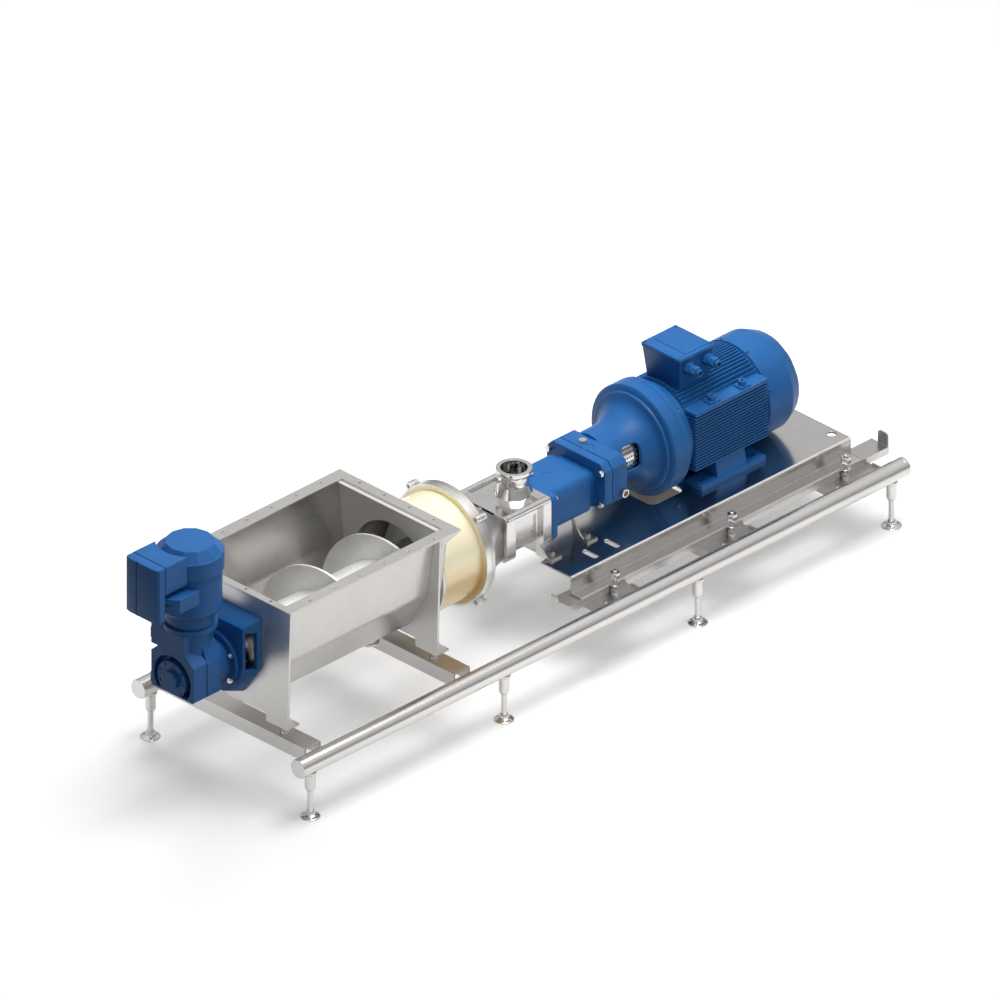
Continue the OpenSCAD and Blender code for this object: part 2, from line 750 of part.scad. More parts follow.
module connector_block() color(blue) place() difference() {
    translate([0, 0, drive_z + 34 - seat - 48]) linear_extrude(48) difference() {
        polygon([[x_inverter + 45, -50], [x_inverter + 76, -90], [x_drive - 53, -drive_r + 2], [x_drive - 53, drive_r - 2],
            [x_inverter + 76, 90], [x_inverter + 45, 50]]);
        translate([x_drive, 0]) circle(drive_r + seat);
    }
    translate([x_inverter + 62, -78, drive_z + 10]) rotate([0, 0, 38]) block([-11, -8, -3], [11, 8, 3]);
}

/* Feed tube and clamped joint */

module feed_tube() color(cream) place() pipe_x(x_feed + seat, x_clamp - seat, feed_r + 6, feed_r);

module feed_tube_flange() color(steel) place() pipe_x(x_flange, x_feed, feed_r + 15, feed_r);

clamp_bolts = [45:90:315];
bolt_circle = clamp_r + 5;
lug_r = 13;
clamp_bolt_r = 6;
module lugs(x0, x1) for (a = clamp_bolts)
    rod_x(x0, x1, lug_r, bolt_circle * cos(a), axis_z + bolt_circle * sin(a));
module lug_bores(x0, x1, r) for (a = clamp_bolts)
    rod_x(x0, x1, r, bolt_circle * cos(a), axis_z + bolt_circle * sin(a));

module clamp_ring() color(cream) place() difference() {
    union() {
        rod_x(x_clamp, x_joint - clear, clamp_r);
        lugs(x_clamp + 4, x_joint - clear);
    }
    rod_x(x_clamp - 1, x_joint + 1, feed_r);
    lug_bores(x_clamp, x_joint + 1, clamp_bolt_r + clear);
}

// The suction casing narrows from the round flange to the pump head
neck_half = 98;
module suction_casing() color(steel) place() {
    difference() {
        union() {
            rod_x(x_joint, x_suction, clamp_r);
            lugs(x_joint, x_suction - 3);
            hull() {
                rod_x(x_suction - 2, x_suction + 14, 150);
                block([x_head - 2, -neck_half, axis_z - head_down + 14], [x_head - seat, neck_half, axis_z + head_up - 10]);
            }
        }
        hull() {
            rod_x(x_joint - 2, x_joint + 2, 150);
            rod_x(x_head - 1, x_head + 1, screw_r + 4, screw_y);
            rod_x(x_head - 1, x_head + 1, screw_r + 4, -screw_y);
        }
    }
    // Bolts of the clamped joint, which draw out with the carriage
    for (a = clamp_bolts) translate([0, bolt_circle * cos(a), bolt_circle * sin(a)]) {
        rod_x(x_clamp + 8, x_joint, clamp_bolt_r);
        translate([x_suction - 3, 0, axis_z]) rotate([0, 90, 0]) hex_head(19, 10);
    }
}

/* Twin screw pump head */

port_x = x_rear - 11;
port_top = axis_z + port_rise;
// The passage under the port is this much narrower, which makes a seat in the bore
port_step = 2.5;
module pump_head() color(bright) place() difference() {
    union() {
        along_x(x_head, x_body) head_flange(0);
        along_x(x_body - 1, x_rear + 1) round_rect(
            [-neck_half, axis_z - head_down + 14], [neck_half, axis_z + head_up - 8], 16);
        along_x(x_rear, x_box - seat) head_flange(0);
        // Round ribs along the top edges
        both_sides() rod_x(x_head + 8, x_box - 4, 12, head_half - 12, axis_z + head_up - 9);
        // Boss under the discharge port
        translate([port_x, 0, axis_z + 30]) cylinder(h = head_up - 30 + 22, r1 = 70, r2 = port_r + 5);
    }
    // The two bores that hold the screws
    for (y = [-screw_y, screw_y]) {
        rod_x(x_head - 1, x_rear + 0.5, screw_r + 0.1, y);
        rod_x(x_rear, x_box + 1, seal_bore_r, y);
    }
    translate([port_x, 0, axis_z]) cylinder(h = 200, r = port_r - port_step);
    block([x_box - seat, -head_half, 0], [x_box + 80, head_half, axis_z + mid_up + seat]);
    // Pockets in the sides
    both_sides() translate([x_body + 12, neck_half - 6, axis_z - head_down + 34])
        cube([head_len - 30, 20, head_up + head_down - 72]);
}

seal_bore_r = 27;
module head_flange(grow) round_rect(
    [-head_half - grow, axis_z - head_down - grow], [head_half + grow, axis_z + head_up + grow], 18);

module discharge_port() color(bright) place() difference() {
    translate([port_x, 0, 0]) rotate_extrude() polygon([
        [port_r - 6, axis_z + head_up + 22 + seat], [port_r + 5, axis_z + head_up + 22 + seat],
        [port_r + 5, port_top - 22], [54, port_top - 10], [54, port_top], [0, port_top], [0, axis_z + head_up + 22 + seat]]);
    translate([port_x, 0, axis_z]) cylinder(h = 2 * port_rise, r = port_r);
}

function screw_section(crest, root) = concat(
    [for (i = [-3:3]) screw_r * [cos(crest * i / 3), sin(crest * i / 3)]],
    [(screw_r + core_r) / 2 * [cos((crest + root) / 2), sin((crest + root) / 2)]],
    [for (i = [0:8]) let (a = root + (360 - 2 * root) * i / 8) core_r * [cos(a), sin(a)]],
    [(screw_r + core_r) / 2 * [cos((crest + root) / 2), -sin((crest + root) / 2)]]);

// A single-start screw on its shaft, turned so that its crest starts at the given angle
x_screw = x_suction + 12;
x_screw_end = x_rear - 1;
module screw(start, shaft_end) {
    screw_len = x_screw_end - x_screw;
    turns = screw_len / screw_pitch;
    translate([x_screw, 0, axis_z]) rotate([0, 90, 0]) rotate([0, 0, start])
        linear_extrude(screw_len, twist = -360 * turns, slices = round(12 * turns), $fn = 16)
            polygon(screw_section(180 * crest_w / screw_pitch, 180 * root_w / screw_pitch));
    rod_x(x_screw_end, shaft_end, shaft_r);
}

x_gear = x_case + 12;
x_drive_end = x_bell + 52;
module screw_drive() color(bright) place() translate([0, screw_y, 0]) screw(0, x_drive_end);
module screw_driven() color(bright) place() translate([0, -screw_y, 0]) mirror([0, 1, 0]) screw(180, x_gear + gear_w + 6);

module shaft_seals() color(dark) place() for (y = [-screw_y, screw_y]) difference() {
    union() {
        rod_x(x_rear + 4, x_box - 6, seal_bore_r - seat, y);
        rod_x(x_mid + 20, x_mid + 40, bearing_r - seat, y);
        rod_x(x_case - 24, x_case - 4, bearing_r - seat, y);
    }
    rod_x(x_rear, x_case + 1, shaft_r + run, y);
}

/* Timing gearbox */

bearing_r = 34;
mid_half = 90;
mid_up = 61;
mid_down = 74;
neck_len = 30;
module gearbox_middle() color(blue) place() difference() {
    union() {
        along_x(x_box, x_mid) round_rect([-head_half, axis_z - head_down - 1], [head_half, axis_z + mid_up], 18);
        along_x(x_mid - 1, x_case - neck_len) round_rect([-mid_half, axis_z - mid_down], [mid_half, axis_z + mid_up], 26);
        along_x(x_case - neck_len - 1, x_case - seat)
            round_rect([10 - mid_half, axis_z - mid_down], [mid_half - 10, axis_z + mid_up - 12], 26);
    }
    for (y = [-screw_y, screw_y]) {
        rod_x(x_box - 1, x_mid + 1, shaft_r + 5, y);
        rod_x(x_mid, x_case, bearing_r, y);
    }
    // Bare pad on the top
    translate([x_mid + 62, 0, axis_z + mid_up - 1]) rotate([0, 0, 45]) translate([-14, -14, 0]) cube([28, 28, 2]);
}

// The gear case has bevelled corners
case_up = 84;
case_down = 68;
bevel = 22;
case_lid = 30;
module case_outline(in) translate([0, axis_z]) polygon([
    [in - case_half + bevel, in - case_down], [case_half - bevel - in, in - case_down],
    [case_half - in, in - case_down + bevel], [case_half - in, case_up - bevel - in],
    [case_half - bevel - in, case_up - in], [in - case_half + bevel, case_up - in],
    [in - case_half, case_up - bevel - in], [in - case_half, in - case_down + bevel]]);

module gear_case() color(blue) place() difference() {
    union() {
        along_x(x_case, x_case + case_lid) case_outline(0);
        along_x(x_case + case_lid - 1, x_case + case_lid + 4) case_outline(2.5);
        along_x(x_case + case_lid + 3, x_bell - seat) case_outline(0);
    }
    along_x(x_case + 8, x_bell - 10) case_outline(10);
    for (y = [-screw_y, screw_y]) rod_x(x_case - 1, x_case + 9, shaft_r + 3, y);
    rod_x(x_case + 9, x_bell + 1, shaft_r + 3, screw_y);
    translate([x_case + 48, 0, axis_z + case_up - 2]) rotate([0, 0, 45]) translate([-17, -17, 0]) cube([34, 34, 3]);
}

function involute(a) = tan(a) * 180 / PI - a;
// Half the angle of a tooth at a radius
function tooth_half(r, base) = 90 / gear_teeth + involute(20) - (r > base ? involute(acos(base / r)) : 0) - 0.15;
module gear_outline() {
    pitch_r = screw_gap / 2;
    base = pitch_r * cos(20);
    radii = [pitch_r - 1.22 * gear_module, base, pitch_r, pitch_r + 0.5 * gear_module, pitch_r + gear_module - 0.1];
    flank = [for (r = radii) [r, tooth_half(r, base)]];
    polygon([for (k = [0:gear_teeth - 1]) each concat(
        [for (i = [0:4]) let (a = 360 * k / gear_teeth - flank[i][1]) flank[i][0] * [cos(a), sin(a)]],
        [for (i = [4:-1:0]) let (a = 360 * k / gear_teeth + flank[i][1]) flank[i][0] * [cos(a), sin(a)]])]);
}

module timing_gear(turn) difference() {
    along_x(x_gear, x_gear + gear_w) translate([0, axis_z]) rotate(turn) gear_outline();
    rod_x(x_gear - 1, x_gear + gear_w + 1, shaft_r + seat / 4);
}

module gear_drive() color(dark) place() translate([0, screw_y, 0]) timing_gear(0);
module gear_driven() color(dark) place() translate([0, -screw_y, 0]) timing_gear(180 / gear_teeth);

// Upright sheet plates that carry the gearbox; their feet are folded back onto the carriage
support_t = 6;
support_foot = 42;
module support(x0, top) {
    top_half = 46;
    base_in = 52;
    base_out = 104;
    waist = 62;
    rise = top - deck_z;
    along_x(x0, x0 + support_t) translate([0, deck_z]) difference() {
        polygon(concat([[-base_out, 0], [base_out, 0], [base_out, 8]],
            [for (i = [0:8]) let (a = 90 * i / 8)
                [base_out - 4 - (base_out - 4 - top_half) * sin(a), 8 + (rise - 8) * (1 - cos(a))]],
            [for (i = [8:-1:0]) let (a = 90 * i / 8)
                [-base_out + 4 + (base_out - 4 - top_half) * sin(a), 8 + (rise - 8) * (1 - cos(a))]],
            [[-base_out, 8]]));
        // Arched opening between the legs
        translate([0, rise * 0.42]) circle(waist - 22);
        translate([-waist + 22, -1]) square([2 * waist - 44, rise * 0.42 + 1]);
    }
    both_sides() difference() {
        block([x0, base_in, deck_z], [x0 + support_foot, base_out, deck_z + support_t]);
        translate([x0 + support_foot * 0.6, (base_in + base_out) / 2, deck_z - 1]) cylinder(h = support_t + 2, r = 5);
    }
}

module gearbox_supports() color(steel) place() {
    for (p = [[x_box + 8, axis_z - head_down - 1 - seat], [x_case - 56, axis_z - mid_down - seat]]) {
        support(p[0], p[1]);
        // Bolts through the feet into the deck
        both_sides() translate([p[0] + support_foot * 0.6, 78, deck_z + support_t]) {
            hex_head(17, 10);
            translate([0, 0, -support_t]) cylinder(h = support_t + 1, r = 4.6);
        }
    }
}

module gearbox_plugs() color(bright) place() {
    translate([x_mid + 30, 30, axis_z + mid_up + seat]) cylinder(h = 5, r = 9);
    translate([x_case + 62, 34, axis_z + case_up + seat]) cylinder(h = 5, r = 12);
    // Bolt heads on the gear case's front corners, and its oil plug at the back
    both_sides() for (z = [case_up - 26, bevel - case_down]) translate([x_case - seat, case_half - 12, axis_z + z])
        rotate([0, -90, 0]) hex_head(18, 12);
    translate([x_bell - 18, -case_half - seat, axis_z - 30]) rotate([90, 0, 0]) hex_head(24, 10);
}

/* Bell housing and coupling */

neck_r = 91;
bowl_r = 150;
rim_w = 44;
bell_wall = 8;
spigot_r = 125;
stud_circle = 150;
bell_neck = 62;
// The bowl's curve, from the neck out to the ridge, as a quarter of an ellipse
function bell_curve(off, n) = [for (i = [0:n]) let (a = 90 * i / n)
    [neck_r + off + (bowl_r - neck_r) * (1 - cos(a)), x_bell + bell_neck + (bell_len - rim_w - 12 - bell_neck) * sin(a)]];

module bell_housing() color(blue) place() difference() {
    turned_x(screw_y) polygon(concat([[0, x_bell], [neck_r, x_bell]], bell_curve(0, 8),
        [[bowl_r + 4, x_motor - rim_w - 10], [bowl_r + 6, x_motor - rim_w - 4], [flange_r - 4, x_motor - rim_w],
        [flange_r, x_motor - rim_w + 4], [flange_r, x_motor - seat], [0, x_motor - seat]]));
    turned_x(screw_y) polygon(concat([[0, x_bell + 10], [neck_r - bell_wall, x_bell + 10]],
        [for (p = bell_curve(-bell_wall, 8)) p + [0, bell_wall]],
        [[135, x_motor - 30], [135, x_motor - 12], [0, x_motor - 12]]));
    rod_x(x_bell - 1, x_bell + 12, shaft_r + 8, screw_y);
    rod_x(x_motor - 13, x_motor + 1, spigot_r + run, screw_y);
    // Windows at both sides, and the motor's bolt holes
    along_y(screw_y - 200, screw_y + 200) round_rect([x_bell + 54, axis_z - 28], [x_bell + 118, axis_z + 54], 14);
    for (a = [45:90:315]) rod_x(x_motor - 28, x_motor + 1, 9,
        screw_y + stud_circle * cos(a), axis_z + stud_circle * sin(a));
}

bell_guard_r = neck_r - bell_wall - clear;
module bell_guard() color(bright) place() difference() {
    pipe_x(x_bell + 44, x_bell + 126, bell_guard_r, bell_guard_r - 1.5, screw_y);
    for (a = [-30:10:40], x = [0:9:54], s = [0, 1]) translate([x_bell + 58 + x, screw_y, axis_z])
        rotate([s == 0 ? -a : a, 0, 0]) rotate([s == 0 ? 90 : -90, 0, 0])
            translate([0, 0, bell_guard_r - 4]) cylinder(h = 8, r = 3);
}

jaws = 4;
hub_r = 52;
module jaw_hub(x0, x1, jaw_x, bore, turn) difference() {
    union() {
        rod_x(x0, x1, hub_r, screw_y);
        intersection() {
            pipe_x(min(jaw_x, x1), max(jaw_x, x0), hub_r, 30, screw_y);
            for (k = [0:jaws - 1]) translate([0, screw_y, axis_z]) rotate([turn + 360 * k / jaws, 0, 0])
                block([min(jaw_x, x1), 0, -10], [max(jaw_x, x0), hub_r + 5, 10]);
        }
    }
    rod_x(min(x0, jaw_x) - 1, max(x1, jaw_x) + 1, bore, screw_y);
}

x_hub = x_bell + 14;
hub_len = 40;
jaw_len = 20;
x_motor_hub = x_hub + hub_len + jaw_len + 2;
module coupling_pump_hub() color(dark) place()
    jaw_hub(x_hub, x_hub + hub_len, x_hub + hub_len + jaw_len, shaft_r + seat / 4, 0);
module coupling_motor_hub() color(dark) place()
    jaw_hub(x_motor_hub, x_motor_hub + hub_len + 10, x_motor_hub - jaw_len, motor_shaft_d / 2 + seat / 4, 180 / jaws);

/* Motor */

module at_motor() translate([0, screw_y, axis_z]) children();

// Section of the finned frame about the motor's axis
core_frame_r = 128;
ledge_z = 108;
module frame_section() {
    circle(core_frame_r);
    // Flat fins on both sides, under a ledge
    for (z = [ledge_z - fin_pitch:-fin_pitch:ledge_z - 19 * fin_pitch - 1])
        translate([-fin_reach, z - fin_t / 2]) square([fin_reach + min(fin_reach, sqrt(165 * 165 - z * z)), fin_t]);
    translate([-fin_reach, ledge_z - 8]) square([fin_reach + 120, 8]);
    // Upright fins on the top, up to a round envelope
    for (y = [-105:10.5:116]) translate([y - fin_t / 2, 0]) square([fin_t, sqrt(fin_reach * fin_reach - y * y)]);
    // Upright fins below
    for (y = [-52:13:52]) translate([y - fin_t / 2, -core_frame_r - 16]) square([fin_t, core_frame_r]);
}

foot_hole_1 = 108;
foot_hole_2 = 318;
foot_hole_y = 127;
foot_edge_y = 160;
foot_t = 16;
motor_foot_x0 = x_motor + foot_hole_1 - 27;
motor_foot_x1 = x_motor + foot_hole_2 + 27;
foot_hole_r = 7.25;

module motor_frame() color(blue) place() difference() {
    union() {
        // Flange, drive-end shield, frame and rear shield
        rod_x(x_motor, x_motor + motor_flange_t, flange_r, screw_y);
        rod_x(x_motor - 5, x_motor + 1, spigot_r, screw_y);
        turned_x(screw_y) polygon([[0, x_motor + 10], [140, x_motor + 10], [150, x_motor + motor_flange_t + 8],
            [150, x_fins], [0, x_fins]]);
        along_x(x_fins - 1, x_fin_end) at_motor_2d() frame_section();
        rod_x(x_fin_end - 1, x_cowl - 9, 150, screw_y);
        rod_x(x_cowl - 10, x_cowl - seat, fin_reach - cowl_wall - seat, screw_y);
        // Lifting bosses on the ledge
        for (x = [0.3, 0.72]) translate([x_fins + x * frame_len, screw_y - 133, axis_z + ledge_z - 2]) {
            cylinder(h = 22, r = 12);
            translate([-19, -17, 0]) cube([38, 34, 7]);
        }
        // Seat of the terminal box
        block([x_fins + 26, screw_y - 60, axis_z + 90], [x_fins + 150, screw_y + 60, axis_z + 146]);
        // Feet
        for (s = [-1, 1]) {
            block([motor_foot_x0, screw_y + (s < 0 ? -foot_edge_y : 92), deck_z],
                [motor_foot_x1, screw_y + (s < 0 ? -92 : foot_edge_y), deck_z + foot_t]);
            along_x(motor_foot_x0 + 72, motor_foot_x1 - 72) translate([screw_y, deck_z]) polygon([
                [s * 154, foot_t - 1], [s * 142, foot_t + 58], [s * 90, foot_t + 70], [s * 92, foot_t - 1]]);
        }
    }
    block([x_fins + 10, screw_y - terminal_d / 2 - 1, axis_z + 146],
        [x_fins + 14 + terminal_w, screw_y + terminal_d / 2 + 1, axis_z + 200]);
    // The rotor's chamber and shaft bore
    rod_x(x_motor + 26, x_fin_end - 10, 92, screw_y);
    rod_x(x_motor - 6, x_cowl + 1, motor_shaft_d / 2 + run, screw_y);
    for (x = [0.3, 0.72]) translate([x_fins + x * frame_len, screw_y - 133, axis_z + ledge_z + 4]) cylinder(h = 20, r = 5);
    for (x = [foot_hole_1, foot_hole_2], s = [-1, 1])
        translate([x_motor + x, screw_y + s * foot_hole_y, deck_z - 1]) cylinder(h = foot_t + 2, r = foot_hole_r);
    for (a = [45:90:315]) rod_x(x_motor - 1, x_motor + motor_flange_t + 1, 9,
        screw_y + stud_circle * cos(a), axis_z + stud_circle * sin(a));
}

module at_motor_2d() translate([screw_y, axis_z]) children();

terminal_top = 253;
terminal_w = 142;
terminal_d = 159;
terminal_lid = 12;
module terminal_box() color(blue) place() translate([x_fins + 12 + terminal_w / 2, screw_y, axis_z + 146 + seat]) {
    body_h = terminal_top - 146 - terminal_lid;
    translate([0, 0, body_h]) mirror([0, 0, 1]) linear_extrude(body_h, scale = 0.87)
        square([terminal_w - 4, terminal_d - 4], center = true);
    translate([-terminal_w / 2, -terminal_d / 2, body_h]) cube([terminal_w, terminal_d, terminal_lid]);
}

gland_z = axis_z + 214;
module cable_glands() color(blue) place() for (x = [0.26, 0.8])
    translate([x_fins + 12 + x * terminal_w, screw_y - terminal_d / 2 + 2.8, gland_z]) rotate([90, 0, 0]) difference() {
        union() {
            hex_head(34, 16);
            translate([0, 0, 16]) cylinder(h = 10, r = 15);
            translate([0, 0, 26]) hex_head(30, 16);
            translate([0, 0, 42]) cylinder(h = 10, r = 11);
        }
        translate([0, 0, 20]) cylinder(h = 40, r = 7);
    }

module motor_rotor() color(dark) place() {
    rod_x(x_motor_hub - 2, x_cowl + 60, motor_shaft_d / 2, screw_y);
    difference() {
        rod_x(x_motor + 34, x_fin_end - 20, 86, screw_y);
        rod_x(x_motor + 30, x_fin_end, motor_shaft_d / 2, screw_y);
    }
}

blades = 8;
fan_r = fin_reach - 33;
module motor_fan() color(dark) place() difference() {
    union() {
        rod_x(x_cowl + 26, x_cowl + 60, 34, screw_y);
        rod_x(x_cowl + 26, x_cowl + 30, fan_r, screw_y);
        for (k = [0:blades - 1]) translate([0, screw_y, axis_z]) rotate([360 * k / blades, 0, 0])
            block([x_cowl + 28, 30, -2], [x_cowl + 66, fan_r - 3, 2]);
    }
    rod_x(x_cowl, x_cowl + 100, motor_shaft_d / 2, screw_y);
}

cowl_wall = 3;
cowl_round = 46;
module fan_cowl() color(blue) place() difference() {
    turned_x(screw_y) polygon([
        [fin_reach - cowl_wall, x_cowl - 8], [fin_reach, x_cowl - 8], [fin_reach, x_cowl_end - cowl_round],
        [fin_reach - 3, x_cowl_end - cowl_round + 7], [fin_reach - 18, x_cowl_end - 5], [fin_reach - 22, x_cowl_end],
        [0, x_cowl_end], [0, x_cowl_end - cowl_wall], [fin_reach - 23, x_cowl_end - cowl_wall],
        [fin_reach - 6, x_cowl_end - cowl_round + 5], [fin_reach - cowl_wall, x_cowl_end - cowl_round - 2]]);
    // Air slots in the end
    for (r = [38:22:126], a = [0:30:330]) translate([0, screw_y, axis_z]) rotate([a, 0, 0])
        block([x_cowl_end - 6, r, -0.13 * r], [x_cowl_end + 2, r + 12, 0.13 * r]);
}

/* Carriage */

module carriage_plate() color(steel) place() difference() {
    along_x(x_carriage, x_carriage_end) difference() {
        union() {
            translate([-carriage_half, rail_top + clear]) square([2 * carriage_half, deck_z - rail_top - clear]);
            translate([-runner_out, rail_top + clear]) square([2 * runner_out, carriage_t]);
        }
        translate([carriage_t - carriage_half, rail_top - 1])
            square([2 * (carriage_half - carriage_t), deck_z - carriage_t - rail_top + 1]);
    }
    // Notch under the pump head
    translate([0, 0, deck_z - 20]) linear_extrude(30) round_rect([x_carriage - 60, -80], [x_carriage + 36, 80], 28);
    // Opening under the bell housing
    translate([0, 0, deck_z - 20]) linear_extrude(30)
        round_rect([x_motor - 81, screw_y - 118], [x_motor + 56, screw_y + 118], 26);
    both_sides() {
        slot_z(x_carriage + 224, 151, 58, 20, deck_z - 20, deck_z + 1);
        slot_z(x_carriage + 136, 150, 58, 20, deck_z - 20, deck_z + 1);
        translate([x_carriage_end - 25, 152, deck_z - 20]) cylinder(h = 30, r = 14.5);
    }
    for (x = [foot_hole_1, foot_hole_2], s = [-1, 1])
        translate([x_motor + x, screw_y + s * foot_hole_y, deck_z - 20]) cylinder(h = 30, r = foot_hole_r);
}

tube_near();
tube_far();
hopper_beams();
rail_brackets();
rail_near();
rail_far();
clamp_posts();
clamp_jaws();
for (n = [1:8]) foot(n);
hopper_trough();
hopper_rim();
front_plate();
saddle_plate();
hopper_end_wall();
hopper_foot_bolts();
auger();
auger_seal();
lantern();
lantern_guard();
gear_housing();
gear_cover();
gear_bolts();
drive_body();
drive_cowl();
drive_rotor();
inverter_box();
connector_block();
feed_tube();
feed_tube_flange();
clamp_ring();
suction_casing();
pump_head();
discharge_port();
screw_drive();
screw_driven();
shaft_seals();
gearbox_middle();
gear_case();
gear_drive();
gear_driven();
gearbox_supports();
gearbox_plugs();
bell_housing();
bell_guard();
coupling_pump_hub();
coupling_motor_hub();
motor_frame();
terminal_box();
cable_glands();
motor_rotor();
motor_fan();
fan_cowl();
carriage_plate();
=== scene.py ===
import json
import math

import bmesh
import bpy
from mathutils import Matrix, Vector

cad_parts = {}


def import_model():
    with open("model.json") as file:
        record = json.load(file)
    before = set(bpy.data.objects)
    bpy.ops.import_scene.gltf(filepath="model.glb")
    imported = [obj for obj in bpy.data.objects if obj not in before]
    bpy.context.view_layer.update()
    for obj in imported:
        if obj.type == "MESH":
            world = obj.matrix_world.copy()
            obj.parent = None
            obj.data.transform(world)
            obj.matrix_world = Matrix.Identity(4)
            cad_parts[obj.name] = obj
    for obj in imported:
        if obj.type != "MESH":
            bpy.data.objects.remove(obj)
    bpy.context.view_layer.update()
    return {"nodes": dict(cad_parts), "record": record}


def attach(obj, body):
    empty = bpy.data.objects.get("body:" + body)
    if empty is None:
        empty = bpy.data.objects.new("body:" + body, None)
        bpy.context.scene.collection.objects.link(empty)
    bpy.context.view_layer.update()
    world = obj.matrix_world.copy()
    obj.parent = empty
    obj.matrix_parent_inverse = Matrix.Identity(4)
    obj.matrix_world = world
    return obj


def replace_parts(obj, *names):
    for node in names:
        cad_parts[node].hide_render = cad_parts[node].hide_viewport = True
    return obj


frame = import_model()
NODES = frame["nodes"]

# Places and sizes in the CAD's millimetres: X from the first feet toward the motor, Y across, Z up
# from the floor
X_MID = 1049.0
AXIS_Z = 426.0
SHAFT_Y = 36.0
X_BOX = 1215.0
X_BELL = 1518.0
X_MOTOR = 1742.0
X_FINS = 1800.0
X_COWL = 2116.0
X_SPIGOT_WELD = 700.0
FEED_R = 165.0
CLAMP_R = 190.5

# The carriage, its runners and the clamps that hold them
CARRIAGE_X = (1200.0, 2355.0)
CARRIAGE_HALF = 207.0
RUNNER_OUT = 250.0
DECK_Z = 266.0
CLAMPS_X = (1326.0, 1809.0, 2280.0)
CLAMP_Y = 261.6
CLAMP_Z = 212.6
POST_R = 7.2

# The motor's bolts and the terminal box
FLANGE_BOLT_R = 158.0
COWL_SCREW_R = 157.6
LID_TOP = AXIS_Z + 253

# The sight glass on the gear case, the socket under the trough, and the feet's sleeves
SIGHT_GLASS = (X_BELL - 18, -130.2, AXIS_Z - 30)
DRAIN = (568.0, 0.0, 258.0)
FEET_PER_TUBE = 4
FOOT_PITCH = 800.0
TUBE_Y = 330.0
SLEEVE_WELD_Z = 151.5

# The upright gear motor, its connector block and its inverter box
DRIVE_X = -167.0
DRIVE_R = 95.0
COWL_R = 102.2
LID_FRONT = -371.0
LID_BACK = -337.0
LID_Z = (687.0, 867.0)
LID_GAP = 2.4
INVERTER_HALF = 68.0
BOX_UNDER = 773.0
CONNECTOR_Z = (706.0, 754.0)
CONNECTOR_HALF = 92.0
CONNECTOR_FRONT = 46.0
SLOT_HALF = 8.0

ALONG = (1, 0, 0)
UP = (0, 0, 1)
DOWN = (0, 0, -1)
NEAR = (0, -1, 0)

MATS = {}


def at(x, y, z):
    """A place in the CAD's millimetres, as a place in the frame."""
    return Vector(((x - X_MID) / 1000, y / 1000, z / 1000))


def new_material(name):
    mat = bpy.data.materials.new(name)
    mat.use_nodes = True
    tree = mat.node_tree
    tree.nodes.clear()
    out = tree.nodes.new("ShaderNodeOutputMaterial")
    bsdf = tree.nodes.new("ShaderNodeBsdfPrincipled")
    tree.links.new(bsdf.outputs["BSDF"], out.inputs["Surface"])
    return mat, tree, bsdf


def put(tree, value, socket):
    """Links an output to a socket, or sets the socket to a value."""
    if isinstance(value, bpy.types.NodeSocket):
        tree.links.new(value, socket)
    else:
        socket.default_value = value


def math_node(tree, operation, *values):
    node = tree.nodes.new("ShaderNodeMath")
    node.operation = operation
    for value, socket in zip(values, node.inputs):
        put(tree, value, socket)
    return node.outputs["Value"]


def mix_node(tree, kind, factor, a, b):
    """A mix of two numbers (FLOAT) or two colours (RGBA)."""
    node = tree.nodes.new("ShaderNodeMix")
    node.data_type = kind
    put(tree, factor, node.inputs["Factor"])
    put(tree, a, node.inputs["A"])
    put(tree, b, node.inputs["B"])
    return node.outputs["Result"]


def map_range(tree, source, start, end):
    """Maps one range of a value onto another."""
    node = tree.nodes.new("ShaderNodeMapRange")
    for name, value in zip(("From Min", "From Max", "To Min", "To Max"), (*start, *end)):
        node.inputs[name].default_value = value
    tree.links.new(source, node.inputs["Value"])
    return node.outputs["Result"]


def mapped_noise(tree, stretch, scale, detail):
    """Noise on the object's own coordinates, squeezed along each axis by the stretch."""
    coord = tree.nodes.new("ShaderNodeTexCoord")
    mapping = tree.nodes.new("ShaderNodeMapping")
    mapping.inputs["Scale"].default_value = stretch
    noise = tree.nodes.new("ShaderNodeTexNoise")
    noise.inputs["Scale"].default_value = scale
    noise.inputs["Detail"].default_value = detail
    noise.inputs["Roughness"].default_value = 0.55
    tree.links.new(coord.outputs["Object"], mapping.inputs["Vector"])
    tree.links.new(mapping.outputs["Vector"], noise.inputs["Vector"])
    return noise.outputs["Fac"]


def ramp(tree, source, low, high, a=0.3, b=0.7):
    """A colour between low and high, as the source goes from a to b."""
    node = tree.nodes.new("ShaderNodeValToRGB")
    node.color_ramp.elements[0].position = a
    node.color_ramp.elements[0].color = (*low, 1)
    node.color_ramp.elements[1].position = b
    node.color_ramp.elements[1].color = (*high, 1)
    tree.links.new(source, node.inputs["Fac"])
    return node.outputs["Color"]


def uneven(tree, bsdf, source, rough):
    """A roughness that varies a little round its value."""
    result = map_range(tree, source, (0.3, 0.7), (rough - 0.05, rough + 0.06))
    tree.links.new(result, bsdf.inputs["Roughness"])


def bump(tree, bsdf, source, strength, distance, edge):
    """Relief from the source, on edges rounded by a radius in metres so that they catch the light."""
    node = tree.nodes.new("ShaderNodeBump")
    node.inputs["Strength"].default_value = strength
    node.inputs["Distance"].default_value = distance
    tree.links.new(source, node.inputs["Height"])
    if edge:
        soft = tree.nodes.new("ShaderNodeBevel")
        soft.samples = 4
        soft.inputs["Radius"].default_value = edge
        tree.links.new(soft.outputs["Normal"], node.inputs["Normal"])
    tree.links.new(node.outputs["Normal"], bsdf.inputs["Normal"])


